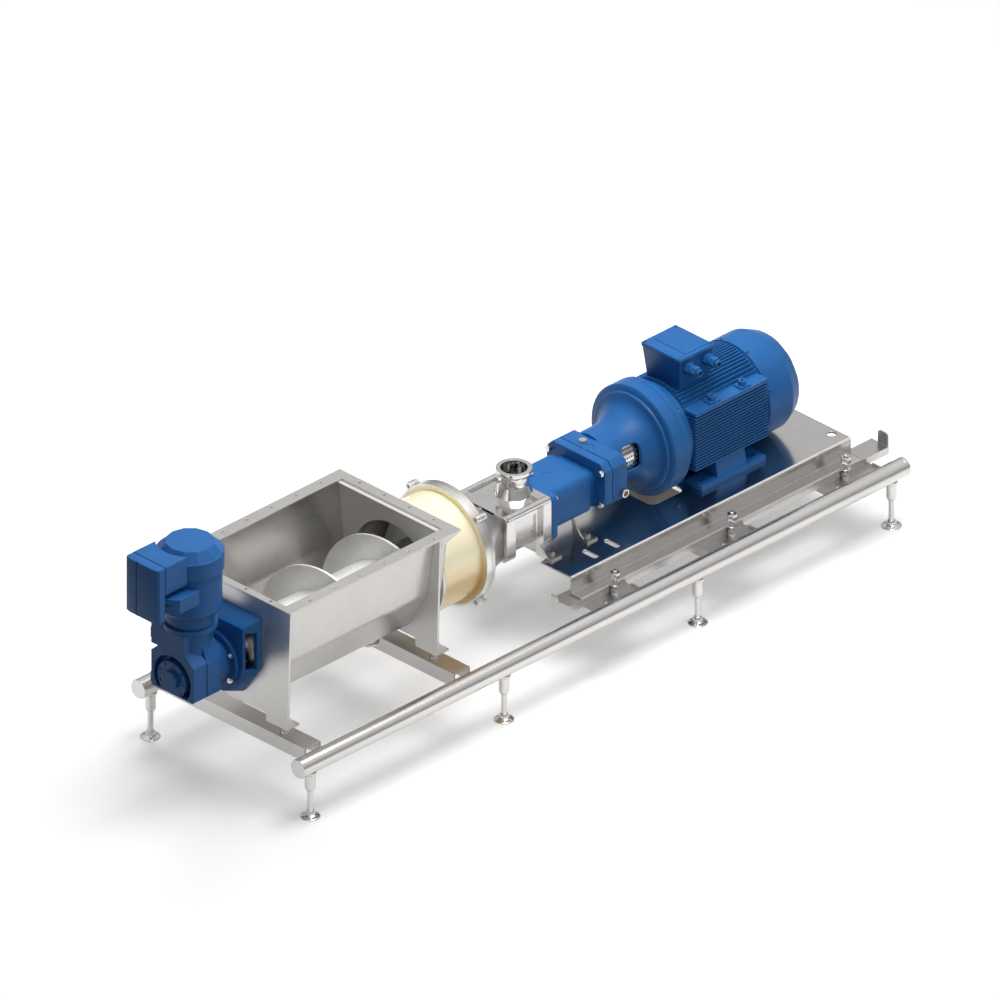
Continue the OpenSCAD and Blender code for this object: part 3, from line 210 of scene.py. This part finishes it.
def brushed(name, low, high, rough, stretch, metallic=1.0, strength=0.12, cloud=0.25, edge=0.0012,
            grain_scale=60.0):
    """Rolled or brushed metal: fine grain drawn out along one axis, and slow clouds of tone."""
    mat, tree, bsdf = new_material(name)
    grain = mapped_noise(tree, stretch, grain_scale, 3.0)
    slow = mapped_noise(tree, (1, 1, 1), 5.0, 3.0)
    part = math_node(tree, "MULTIPLY", slow, cloud)
    tone = math_node(tree, "MULTIPLY_ADD", grain, 1.0 - cloud, part)
    tree.links.new(ramp(tree, tone, low, high, 0.35, 0.65), bsdf.inputs["Base Color"])
    uneven(tree, bsdf, tone, rough)
    bsdf.inputs["Metallic"].default_value = metallic
    bump(tree, bsdf, grain, strength, 0.0003, edge)
    MATS[name] = mat


def paint(name, low, high, rough, specular=0.5, edge=0.002):
    """Sprayed paint on a casting: a little orange peel, slow changes of tone."""
    mat, tree, bsdf = new_material(name)
    slow = mapped_noise(tree, (1, 1, 1), 9.0, 3.0)
    peel = mapped_noise(tree, (1, 1, 1), 260.0, 2.0)
    tree.links.new(ramp(tree, slow, low, high), bsdf.inputs["Base Color"])
    uneven(tree, bsdf, peel, rough)
    bsdf.inputs["Coat Weight"].default_value = 0.0
    bsdf.inputs["Coat Roughness"].default_value = 0.15
    bsdf.inputs["Specular IOR Level"].default_value = specular
    bump(tree, bsdf, peel, 0.2, 0.0004, edge)
    MATS[name] = mat


def from_axis(tree, split):
    """The distance from the feed tube's axis."""
    flat = tree.nodes.new("ShaderNodeCombineXYZ")
    tree.links.new(split.outputs["Y"], flat.inputs["X"])
    tree.links.new(math_node(tree, "SUBTRACT", split.outputs["Z"], AXIS_Z / 1000), flat.inputs["Y"])
    size = tree.nodes.new("ShaderNodeVectorMath")
    size.operation = "LENGTH"
    tree.links.new(flat.outputs["Vector"], size.inputs[0])
    return size.outputs["Value"]


def two_tone(name, cream_side, radius, steel_metallic):
    """Cream on one side of a radius, bare steel on the other, and painted light on the paint: a painted
    highlight makes it pale at the top, and painted shade makes it a deeper yellow towards the bottom.
    """
    mat, tree, bsdf = new_material(name)
    coord = tree.nodes.new("ShaderNodeTexCoord")
    split = tree.nodes.new("ShaderNodeSeparateXYZ")
    tree.links.new(coord.outputs["Object"], split.inputs["Vector"])
    past = math_node(tree, cream_side, from_axis(tree, split), radius / 1000)
    # Painted light by height: deep yellow painted shade at the tube's bottom, rising to a pale painted
    # highlight above the axis
    painted_shade_z = (AXIS_Z - FEED_R) / 1000
    pale = (AXIS_Z + 0.45 * FEED_R) / 1000
    height = map_range(tree, split.outputs["Z"], (painted_shade_z, pale), (0.0, 1.0))
    cream_with_painted_light = ramp(tree, height, (0.95, 0.66, 0.27), (1.0, 0.92, 0.66), 0.45, 0.92)
    grain = mapped_noise(tree, (1, 10, 10), 40.0, 2.0)
    steel = ramp(tree, grain, (0.66, 0.65, 0.63), (0.72, 0.71, 0.69))
    tree.links.new(mix_node(tree, "RGBA", past, steel, cream_with_painted_light), bsdf.inputs["Base Color"])
    metal = map_range(tree, past, (0.0, 1.0), (steel_metallic, 0.2))
    tree.links.new(metal, bsdf.inputs["Metallic"])
    bsdf.inputs["Roughness"].default_value = 0.28
    bsdf.inputs["Coat Weight"].default_value = 0.4
    bsdf.inputs["Coat Roughness"].default_value = 0.12
    bump(tree, bsdf, grain, 0.02, 0.0003, 0.002)
    MATS[name] = mat


brushed("stainless_sheet", (0.52, 0.505, 0.49), (0.59, 0.575, 0.56), 0.31, (0.6, 12, 12),
        strength=0.06, cloud=0.4, edge=0.003)
brushed("hopper_sheet", (0.55, 0.535, 0.515), (0.62, 0.605, 0.585), 0.30, (0.6, 10, 10), 0.85,
        strength=0.05, cloud=0.5, edge=0.003)
brushed("deck_sheet", (0.56, 0.545, 0.53), (0.64, 0.625, 0.61), 0.19, (0.2, 14, 14),
        strength=0.04, edge=0.006)
brushed("polished_steel", (0.58, 0.57, 0.56), (0.67, 0.66, 0.65), 0.12, (1, 4, 4), strength=0.03)
# Painted highlight: the bends get a far paler grey than the deck sheet they are folded from, so that they
# show as bright lines
brushed("bent_edge_painted_highlight", (0.88, 0.87, 0.86), (0.95, 0.94, 0.93), 0.22, (0.1, 4, 4), strength=0.02, edge=0.0)
brushed("dark_steel", (0.16, 0.155, 0.15), (0.24, 0.235, 0.23), 0.42, (2, 2, 2), 0.85)
paint("blue_paint", (0.013, 0.106, 0.318), (0.017, 0.124, 0.370), 0.40, specular=0.26, edge=0.004)
paint("black_plastic", (0.02, 0.02, 0.02), (0.035, 0.035, 0.035), 0.5, edge=0.0)
paint("seal_rubber", (0.025, 0.025, 0.025), (0.04, 0.04, 0.04), 0.7, edge=0.0)
brushed("auger_steel", (0.76, 0.75, 0.735), (0.83, 0.82, 0.805), 0.42, (1, 1, 1), 0.55, cloud=0.5)
brushed("end_wall_sheet", (0.66, 0.645, 0.63), (0.72, 0.705, 0.69), 0.40, (1, 10, 10), 0.35, cloud=0.5)
brushed("tube_steel", (0.60, 0.585, 0.57), (0.67, 0.655, 0.64), 0.24, (0.08, 16, 16), cloud=0.1,
        grain_scale=30)
paint("amber_glass", (0.22, 0.07, 0.015), (0.30, 0.10, 0.02), 0.12, edge=0.0)
# Near-black: dark joints such as the terminal box's gasket, and the painted shade of the connector's slot
paint("joint_dark_and_painted_shade", (0.006, 0.010, 0.018), (0.010, 0.016, 0.028), 0.6, specular=0.2, edge=0.0)
two_tone("feed_tube_paint", "GREATER_THAN", FEED_R + 3, 0.3)
two_tone("cream_paint", "LESS_THAN", CLAMP_R - 6, 1.0)

slot_of = {s["node"]: s["material_slot"] for s in frame["record"]["subparts"]}
LOOK = {
    "auger": "auger_steel", "tube_near": "tube_steel", "tube_far": "tube_steel",
    "carriage_plate": "deck_sheet", "hopper_trough": "hopper_sheet", "hopper_end_wall": "end_wall_sheet",
    "hopper_rim": "hopper_sheet", "front_plate": "hopper_sheet", "saddle_plate": "hopper_sheet",
    "feed_tube": "feed_tube_paint",
}
for name, obj in NODES.items():
    mat = MATS[LOOK.get(name, slot_of[name])]
    if not obj.data.materials:
        obj.data.materials.append(mat)
    for i in range(len(obj.data.materials)):
        obj.data.materials[i] = mat


def smoothing_group(degrees):
    """Joins the split corners and shades smooth, save where two faces meet at more than this angle."""
    group = bpy.data.node_groups.new("smooth_%d" % degrees, "GeometryNodeTree")
    group.interface.new_socket("Geometry", in_out="INPUT", socket_type="NodeSocketGeometry")
    group.interface.new_socket("Geometry", in_out="OUTPUT", socket_type="NodeSocketGeometry")
    nodes = group.nodes
    link = group.links.new
    start = nodes.new("NodeGroupInput")
    end = nodes.new("NodeGroupOutput")
    drop = nodes.new("GeometryNodeRemoveAttribute")
    drop.inputs["Name"].default_value = "custom_normal"
    merge = nodes.new("GeometryNodeMergeByDistance")
    merge.inputs["Distance"].default_value = 1e-5
    angle = nodes.new("GeometryNodeInputMeshEdgeAngle")
    less = nodes.new("FunctionNodeCompare")
    less.data_type = "FLOAT"
    less.operation = "LESS_THAN"
    less.inputs["B"].default_value = math.radians(degrees)
    edges = nodes.new("GeometryNodeSetShadeSmooth")
    edges.domain = "EDGE"
    faces = nodes.new("GeometryNodeSetShadeSmooth")
    faces.domain = "FACE"
    link(start.outputs[0], drop.inputs["Geometry"])
    link(drop.outputs["Geometry"], merge.inputs["Geometry"])
    link(merge.outputs["Geometry"], edges.inputs["Geometry"])
    link(angle.outputs["Unsigned Angle"], less.inputs["A"])
    link(less.outputs["Result"], edges.inputs["Shade Smooth"])
    link(edges.outputs["Geometry"], faces.inputs["Geometry"])
    link(faces.outputs["Geometry"], end.inputs[0])
    return group


SMOOTH = smoothing_group(32)


def round_edges(name, width):
    """Cast edges get a radius in mm: the flat faces are joined up, and their edges bevelled."""
    obj = NODES[name]
    obj.modifiers.new("join", "NODES").node_group = SMOOTH
    flat = obj.modifiers.new("flat", "DECIMATE")
    flat.decimate_type = "DISSOLVE"
    flat.angle_limit = math.radians(1)
    bevel = obj.modifiers.new("radius", "BEVEL")
    bevel.width = width / 1000
    bevel.segments = 3
    bevel.limit_method = "ANGLE"
    bevel.angle_limit = math.radians(40)
    obj.modifiers.new("smooth", "NODES").node_group = SMOOTH


for name in ("auger", "screw_drive", "screw_driven", "suction_casing", "bell_housing"):
    NODES[name].modifiers.new("smooth", "NODES").node_group = SMOOTH
for name, width in (("gear_case", 5), ("gearbox_middle", 4), ("lantern", 4), ("terminal_box", 3)):
    round_edges(name, width)


def frame_of(axis):
    return Vector(axis).normalized().to_track_quat("Z", "Y").to_matrix()


def ring_of(bm, centre, rot, r, h, n, turn=0.0):
    """Corners on a ring of radius r at height h, both in mm, about a centre in the frame."""
    made = []
    for k in range(n):
        a = turn + 2 * math.pi * k / n
        made.append(bm.verts.new(centre + rot @ Vector((
            r / 1000 * math.cos(a), r / 1000 * math.sin(a), h / 1000))))
    return made


def lathe(bm, profile, place, axis, n=24, turn=0.0, ring=False):
    """Turns (radius, height) pairs in mm about an axis through a place; a ring's profile closes on itself."""
    rot = frame_of(axis)
    rings = [ring_of(bm, at(*place), rot, r, h, n if r else 1, turn) for r, h in profile]
    pairs = list(zip(rings, rings[1:]))
    if ring:
        pairs.append((rings[-1], rings[0]))
    else:
        for end in (rings[0], rings[-1]):
            if len(end) > 2:
                bm.faces.new(end)
    for a, b in pairs:
        for k in range(n):
            j = (k + 1) % n
            corners = [a[k % len(a)], a[j % len(a)], b[j % len(b)], b[k % len(b)]]
            corners = [c for i, c in enumerate(corners) if c not in corners[:i]]
            if len(corners) > 2:
                bm.faces.new(corners)


def hex_bolt(bm, place, axis, across, high, turn):
    """A hexagon head with a chamfered top, on a washer."""
    r = across / 2 / math.cos(math.pi / 6)
    base = across * 0.12
    washer = [(across * 0.72, 0), (across * 0.72, base * 0.8), (across * 0.69, base), (r * 0.8, base)]
    lathe(bm, washer, place, axis, 24)
    head = [(r * 0.98, base), (r, base + 0.6), (r, high * 0.85 + base), (r * 0.9, high + base),
            (0, high + base)]
    lathe(bm, head, place, axis, 6, turn)


def cap_screw(bm, place, axis, d, high):
    """A socket head with its recess."""
    r = d / 2
    head = [(r, 0), (r, high - 1), (r - 1, high), (r * 0.55, high), (r * 0.52, high * 0.45), (0, high * 0.4)]
    lathe(bm, head, place, axis, 18)


def bead(bm, points, radius, closed=False, n=8):
    """A rounded bead along points in mm, such as a weld."""
    pts = [at(*p) for p in points]
    count = len(pts)
    rings = []
    for i, p in enumerate(pts):
        a = pts[(i - 1) % count] if closed or i > 0 else p
        b = pts[(i + 1) % count] if closed or i < count - 1 else p
        rings.append(ring_of(bm, p, frame_of((b - a).normalized()), radius, 0, n))
    pairs = list(zip(rings, rings[1:])) + ([(rings[-1], rings[0])] if closed else [])
    for a, b in pairs:
        # The ring that starts nearest keeps the bead from twisting
        shift = min(range(n), key=lambda s: (a[0].co - b[s].co).length)
        for k in range(n):
            bm.faces.new((a[k], a[(k + 1) % n], b[(k + 1 + shift) % n], b[(k + shift) % n]))
    if not closed:
        bm.faces.new(rings[0])
        bm.faces.new(rings[-1])


def slab(bm, low, high, edge):
    """A plate with chamfered edges, from its lowest and highest corners."""
    ends = (Vector(low), Vector(high))
    start = set(bm.verts)
    corners = [bm.verts.new(at(*[ends[b][i] for i, b in enumerate((x, y, z))]))
               for x in (0, 1) for y in (0, 1) for z in (0, 1)]
    for face in ((0, 1, 3, 2), (4, 6, 7, 5), (0, 4, 5, 1), (2, 3, 7, 6), (0, 2, 6, 4), (1, 5, 7, 3)):
        bm.faces.new([corners[i] for i in face])
    mine = [v for v in bm.verts if v not in start]
    edges = {e for v in mine for e in v.link_edges}
    bmesh.ops.bevel(bm, geom=list(edges), offset=edge / 1000, segments=2, affect="EDGES", profile=0.6)


def prism(bm, outline, low, high, edge):
    """An outline in mm, drawn up from low to high, with its top and bottom edges rounded."""
    rims = [[bm.verts.new(at(x, y, z)) for x, y in outline] for z in (low, high)]
    count = len(outline)
    flat = [bm.faces.new(rim) for rim in rims]
    for i in range(count):
        j = (i + 1) % count
        bm.faces.new((rims[0][i], rims[0][j], rims[1][j], rims[1][i]))
    edges = {e for face in flat for e in face.edges}
    bmesh.ops.bevel(bm, geom=list(edges), offset=edge / 1000, segments=3, affect="EDGES", profile=0.5)


def piece(name, bm, body, mat, sharp=35):
    bmesh.ops.recalc_face_normals(bm, faces=bm.faces)
    mesh = bpy.data.meshes.new(name)
    bm.to_mesh(mesh)
    bm.free()
    for p in mesh.polygons:
        p.use_smooth = True
    mesh.set_sharp_from_angle(angle=math.radians(sharp))
    mesh.materials.append(MATS[mat])
    obj = bpy.data.objects.new(name, mesh)
    bpy.context.scene.collection.objects.link(obj)
    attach(obj, body)
    return obj


def motor_details():
    bm = bmesh.new()
    for a in (45, 135, 225, 315):
        c = math.cos(math.radians(a))
        s = math.sin(math.radians(a))
        place = (X_MOTOR + 20, SHAFT_Y + FLANGE_BOLT_R * c, AXIS_Z + FLANGE_BOLT_R * s)
        hex_bolt(bm, place, ALONG, 18, 9, math.radians(a))
    piece("motor_flange_bolts", bm, "carriage", "polished_steel")

    bm = bmesh.new()
    for a in (20, 70, 110, 160, 200, 340):
        c = math.cos(math.radians(a))
        s = math.sin(math.radians(a))
        place = (X_COWL, SHAFT_Y + COWL_SCREW_R * c, AXIS_Z + COWL_SCREW_R * s)
        cap_screw(bm, place, (0, c, s), 9, 3.2)
    piece("fan_cowl_screws", bm, "carriage", "blue_paint")

    # Lid of the terminal box: a raised panel, the gasket under the lid and four screws
    bm = bmesh.new()
    slab(bm, (X_FINS + 50, SHAFT_Y - 66, LID_TOP - 0.5), (X_FINS + 148, SHAFT_Y + 66, LID_TOP + 1.6), 1.2)
    piece("terminal_lid_panel", bm, "carriage", "blue_paint")
    bm = bmesh.new()
    slab(bm, (X_FINS + 13.2, SHAFT_Y - 78.3, LID_TOP - 13.6),
         (X_FINS + 152.8, SHAFT_Y + 78.3, LID_TOP - 11.6), 0.4)
    piece("terminal_gasket", bm, "carriage", "joint_dark_and_painted_shade")
    bm = bmesh.new()
    for x in (X_FINS + 20, X_FINS + 146):
        for y in (SHAFT_Y - 71, SHAFT_Y + 71):
            cap_screw(bm, (x, y, LID_TOP - 0.4), UP, 8.5, 2.4)
    piece("terminal_lid_screws", bm, "carriage", "blue_paint")


def gearbox_details():
    bm = bmesh.new()
    collar = [(13.5, 0), (13.5, 3), (12.5, 4.2), (9.5, 4.2), (9, 2.6), (9, 0)]
    lathe(bm, collar, SIGHT_GLASS, NEAR, 28, ring=True)
    piece("sight_glass_ring", bm, "carriage", "polished_steel")
    bm = bmesh.new()
    lathe(bm, [(9, 0), (9, 2.4), (5, 3.2), (0, 3.4)], SIGHT_GLASS, NEAR, 24)
    piece("sight_glass", bm, "carriage", "amber_glass")
    # Socket heads at the corners of the gearbox's first flange
    bm = bmesh.new()
    for y, z in ((-98, 44), (98, 44), (-98, -72), (98, -72)):
        cap_screw(bm, (X_BOX + 25, y, AXIS_Z + z), ALONG, 15, 9)
    piece("box_flange_screws", bm, "carriage", "polished_steel")


def hopper_details():
    # A weld round the spigot
    r = 171
    n = 64
    bm = bmesh.new()
    angles = [math.radians(360.0 * i / n) for i in range(n)]
    points = [(X_SPIGOT_WELD, r * math.cos(a), AXIS_Z + r * math.sin(a)) for a in angles]
    bead(bm, points, 1.6, True)
    piece("spigot_welds", bm, "stand", "stainless_sheet")
    # The drain socket under the trough, closed by a cap
    bm = bmesh.new()
    socket = [(30, -1), (30, 27), (34, 28), (34, 35), (32, 36), (12, 36), (11, 34), (0, 34)]
    lathe(bm, socket, DRAIN, DOWN, 40)
    piece("drain_socket", bm, "stand", "stainless_sheet")


def carriage_bends():
    """The rounded edges of the folded deck and of its runners, which catch the light; their beads also carry
    a painted highlight, being far paler than the deck sheet.
    """
    bm = bmesh.new()
    for y, z, r in ((CARRIAGE_HALF - 2.8, DECK_Z - 2.8, 4.5), (RUNNER_OUT - 2.4, CLAMP_Z - 3.3, 3.2)):
        for side in (-1, 1):
            bead(bm, [(CARRIAGE_X[0] + 2, y * side, z), (CARRIAGE_X[1] - 2, y * side, z)], r, n=24)
    piece("carriage_bends", bm, "carriage", "bent_edge_painted_highlight", 60)


def clamp_bolts():
    """A washer on the runner round each post, and a nut near the post's end."""
    washer = [(POST_R, 0), (15, 0), (16, 0.8), (16, 3.2), (15, 4), (POST_R, 4)]
    nut = [(POST_R, 24), (14.4, 24), (15.6, 25.5), (15.6, 41.5), (14.4, 43), (POST_R, 43)]
    bm = bmesh.new()
    for x in CLAMPS_X:
        for side in (-1, 1):
            place = (x, CLAMP_Y * side, CLAMP_Z)
            lathe(bm, washer, place, UP, 28, ring=True)
            lathe(bm, nut, place, UP, 6, ring=True)
    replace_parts(piece("clamp_nuts", bm, "stand", "polished_steel"), "clamp_jaws")


def sleeve_welds():
    """A weld round each foot's sleeve, under the tube."""
    weld = [(16, -9), (19.5, -6), (21, -1), (19, 3)]
    for name, side in (("near", -1), ("far", 1)):
        bm = bmesh.new()
        for i in range(FEET_PER_TUBE):
            lathe(bm, weld, (FOOT_PITCH * i, TUBE_Y * side, SLEEVE_WELD_Z), UP, 28, ring=True)
        piece("sleeve_welds_" + name, bm, "stand", "tube_steel", 60)


def drive_arc(r, y0, y1, n=20):
    """Points on the front of a circle round the upright motor's axis, from one side to the other."""
    a0 = math.pi - math.asin(y0 / r)
    a1 = math.pi - math.asin(y1 / r)
    angles = [a0 + (a1 - a0) * i / n for i in range(n + 1)]
    return [(DRIVE_X + r * math.cos(a), r * math.sin(a)) for a in angles]


def gear_motor_details():
    # A tall lid with a seam down its face, and the shorter box behind it
    half = INVERTER_HALF
    bm = bmesh.new()
    front = [(LID_BACK, -half), (LID_FRONT + 12, -half), (LID_FRONT + 4, -half + 6), (LID_FRONT, -half + 22),
             (LID_FRONT, 15), (LID_FRONT + 3, 15.6), (LID_FRONT + 3, 18.4), (LID_FRONT, 19),
             (LID_FRONT, half - 22), (LID_FRONT + 4, half - 6), (LID_FRONT + 12, half), (LID_BACK, half)]
    prism(bm, front, LID_Z[0], LID_Z[1], 3)
    seam = [(LID_BACK, -half + 2), (LID_BACK, half - 2), (LID_BACK + LID_GAP, half - 2),
            (LID_BACK + LID_GAP, -half + 2)]
    prism(bm, seam, BOX_UNDER + 2, LID_Z[1] - 2, 0.2)
    box = [(LID_BACK + LID_GAP, half)] + drive_arc(COWL_R, half - 1, 1 - half) + [(LID_BACK + LID_GAP, -half)]
    prism(bm, box, BOX_UNDER, LID_Z[1], 2)
    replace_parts(piece("inverter_case", bm, "stand", "blue_paint", 30), "inverter_box")

    # The connector block: chamfered sides, and on the near one a slot drawn as a thin dark plate, its
    # darkness painted shade
    wide = CONNECTOR_HALF
    thin = CONNECTOR_FRONT
    bm = bmesh.new()
    block = [(LID_BACK + 0.2, thin), (LID_BACK + 36, wide), (DRIVE_X - 53, wide)]
    block += drive_arc(DRIVE_R + 0.2, 79, -79)
    block += [(DRIVE_X - 53, -wide), (LID_BACK + 36, -wide), (LID_BACK + 0.2, -thin)]
    prism(bm, block, CONNECTOR_Z[0], CONNECTOR_Z[1], 2)
    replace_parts(piece("connector", bm, "stand", "blue_paint", 30), "connector_block")
    # The slot is no recess but a dark plate laid on the chamfer: painted shade
    bm = bmesh.new()
    side = Vector((36, -46, 0)).normalized()
    out = Vector((side.y, -side.x, 0))
    middle = Vector((LID_BACK + 16, -66, 734))
    corners = [middle + side * u + out * w + Vector((0, 0, h)) for h in (-2.6, 2.6) for u, w in
               ((-SLOT_HALF, -1), (SLOT_HALF, -1), (SLOT_HALF, 0.4), (-SLOT_HALF, 0.4))]
    made = [bm.verts.new(at(*c)) for c in corners]
    for face in ((0, 1, 2, 3), (7, 6, 5, 4), (0, 4, 5, 1), (1, 5, 6, 2), (2, 6, 7, 3), (3, 7, 4, 0)):
        bm.faces.new([made[i] for i in face])
    piece("connector_slot", bm, "stand", "joint_dark_and_painted_shade")


motor_details()
gearbox_details()
hopper_details()
carriage_bends()
clamp_bolts()
sleeve_welds()
gear_motor_details()

# The studio: half the floor's width in metres, the greys the floor shows and gives, and its glow
FLOOR_HALF = 30.0
FLOOR_SEEN = 0.86
FLOOR_GIVEN = 0.19
FLOOR_GLOW = 0.27

# The room's light: its brighter side, and its strength on the dark side and the bright one
BRIGHT_SIDE = (0.55, -0.75, 0.30)
ROOM_LIGHT = (0.04, 0.62)

# The camera: what it looks at, its distance and the width that it sees, in metres
CAMERA_TARGET = (0.1596, 0.0953, 0.400)
CAMERA_BACK = 8
CAMERA_WIDTH = 2.92
CAMERA_ANGLES = (-45, 30)


def grey(value):
    return value, value, value, 1


def floor():
    """A pale floor that throws back less light than it shows, as a dull studio floor does."""
    mesh = bpy.data.meshes.new("floor")
    r = FLOOR_HALF
    mesh.from_pydata([(-r, -r, 0), (r, -r, 0), (r, r, 0), (-r, r, 0)], [], [(0, 1, 2, 3)])
    obj = bpy.data.objects.new("floor", mesh)
    bpy.context.scene.collection.objects.link(obj)
    mat, tree, bsdf = new_material("floor_white")
    bsdf.inputs["Roughness"].default_value = 0.9
    bsdf.inputs["Specular IOR Level"].default_value = 0.1
    out = [n for n in tree.nodes if n.type == "OUTPUT_MATERIAL"][0]
    path = tree.nodes.new("ShaderNodeLightPath")
    shade = mix_node(tree, "RGBA", path.outputs["Is Diffuse Ray"], grey(FLOOR_SEEN), grey(FLOOR_GIVEN))
    tree.links.new(shade, bsdf.inputs["Base Color"])
    seen = math_node(tree, "MAXIMUM", path.outputs["Is Camera Ray"], path.outputs["Is Glossy Ray"])
    glow = tree.nodes.new("ShaderNodeEmission")
    tree.links.new(math_node(tree, "MULTIPLY", seen, FLOOR_GLOW), glow.inputs["Strength"])
    both = tree.nodes.new("ShaderNodeAddShader")
    tree.links.new(bsdf.outputs["BSDF"], both.inputs[0])
    tree.links.new(glow.outputs["Emission"], both.inputs[1])
    tree.links.new(both.outputs["Shader"], out.inputs["Surface"])
    mesh.materials.append(mat)


def world():
    """White behind the part; for light, a room that is brighter on the near right side than on the left."""
    w = bpy.data.worlds.new("studio")
    bpy.context.scene.world = w
    w.use_nodes = True
    tree = w.node_tree
    tree.nodes.clear()
    link = tree.links.new
    out = tree.nodes.new("ShaderNodeOutputWorld")
    back = tree.nodes.new("ShaderNodeBackground")
    path = tree.nodes.new("ShaderNodeLightPath")
    coord = tree.nodes.new("ShaderNodeTexCoord")
    dot = tree.nodes.new("ShaderNodeVectorMath")
    dot.operation = "DOT_PRODUCT"
    dot.inputs[1].default_value = BRIGHT_SIDE
    link(coord.outputs["Generated"], dot.inputs[0])
    soft = map_range(tree, dot.outputs["Value"], (-0.3, 1.0), ROOM_LIGHT)
    # Polished steel mirrors a room that darkens toward the horizon
    split = tree.nodes.new("ShaderNodeSeparateXYZ")
    link(coord.outputs["Generated"], split.inputs["Vector"])
    height = tree.nodes.new("ShaderNodeValToRGB")
    height.color_ramp.elements[0].position = 0.0
    height.color_ramp.elements[0].color = grey(0.26)
    height.color_ramp.elements[1].position = 0.32
    height.color_ramp.elements[1].color = grey(0.50)
    for place, value in ((0.5, 0.74), (0.95, 1.0)):
        height.color_ramp.elements.new(place).color = grey(value)
    link(split.outputs["Z"], height.inputs["Fac"])
    glossy = mix_node(tree, "FLOAT", path.outputs["Is Glossy Ray"], soft, height.outputs["Color"])
    shown = mix_node(tree, "FLOAT", path.outputs["Is Camera Ray"], glossy, 1.0)
    link(shown, back.inputs["Strength"])
    back.inputs["Color"].default_value = grey(1)
    link(back.outputs["Background"], out.inputs["Surface"])


def lamp(name, place, target, size, power, glossy=True):
    data = bpy.data.lights.new(name, "AREA")
    data.shape = "RECTANGLE"
    data.size, data.size_y = size
    data.energy = power
    obj = bpy.data.objects.new(name, data)
    obj.location = place
    obj.rotation_mode = "QUATERNION"
    obj.rotation_quaternion = (Vector(target) - Vector(place)).to_track_quat("-Z", "Y")
    obj.visible_glossy = glossy
    bpy.context.scene.collection.objects.link(obj)


def camera():
    data = bpy.data.cameras.new("camera")
    data.type = "ORTHO"
    data.ortho_scale = CAMERA_WIDTH
    data.clip_end = 100
    obj = bpy.data.objects.new("camera", data)
    az, el = [math.radians(a) for a in CAMERA_ANGLES]
    back = Vector((math.sin(az) * math.cos(el), -math.cos(az) * math.cos(el), math.sin(el)))
    obj.location = Vector(CAMERA_TARGET) + back * CAMERA_BACK
    obj.rotation_mode = "QUATERNION"
    obj.rotation_quaternion = (-back).to_track_quat("-Z", "Y")
    bpy.context.scene.collection.objects.link(obj)
    bpy.context.scene.camera = obj


bpy.context.scene.view_settings.view_transform = "Standard"
floor()
world()
lamp("key", (1.5, 2.5, 4.5), (0, 0, 0.3), (3.0, 3.0), 150, False)
lamp("top", (0.2, -0.8, 4.4), (0.1, 0, 0.3), (3.4, 2.2), 130)
lamp("side", (1.6, -4.2, 1.8), (0.3, 0, 0.4), (2.4, 1.6), 14, False)
camera()
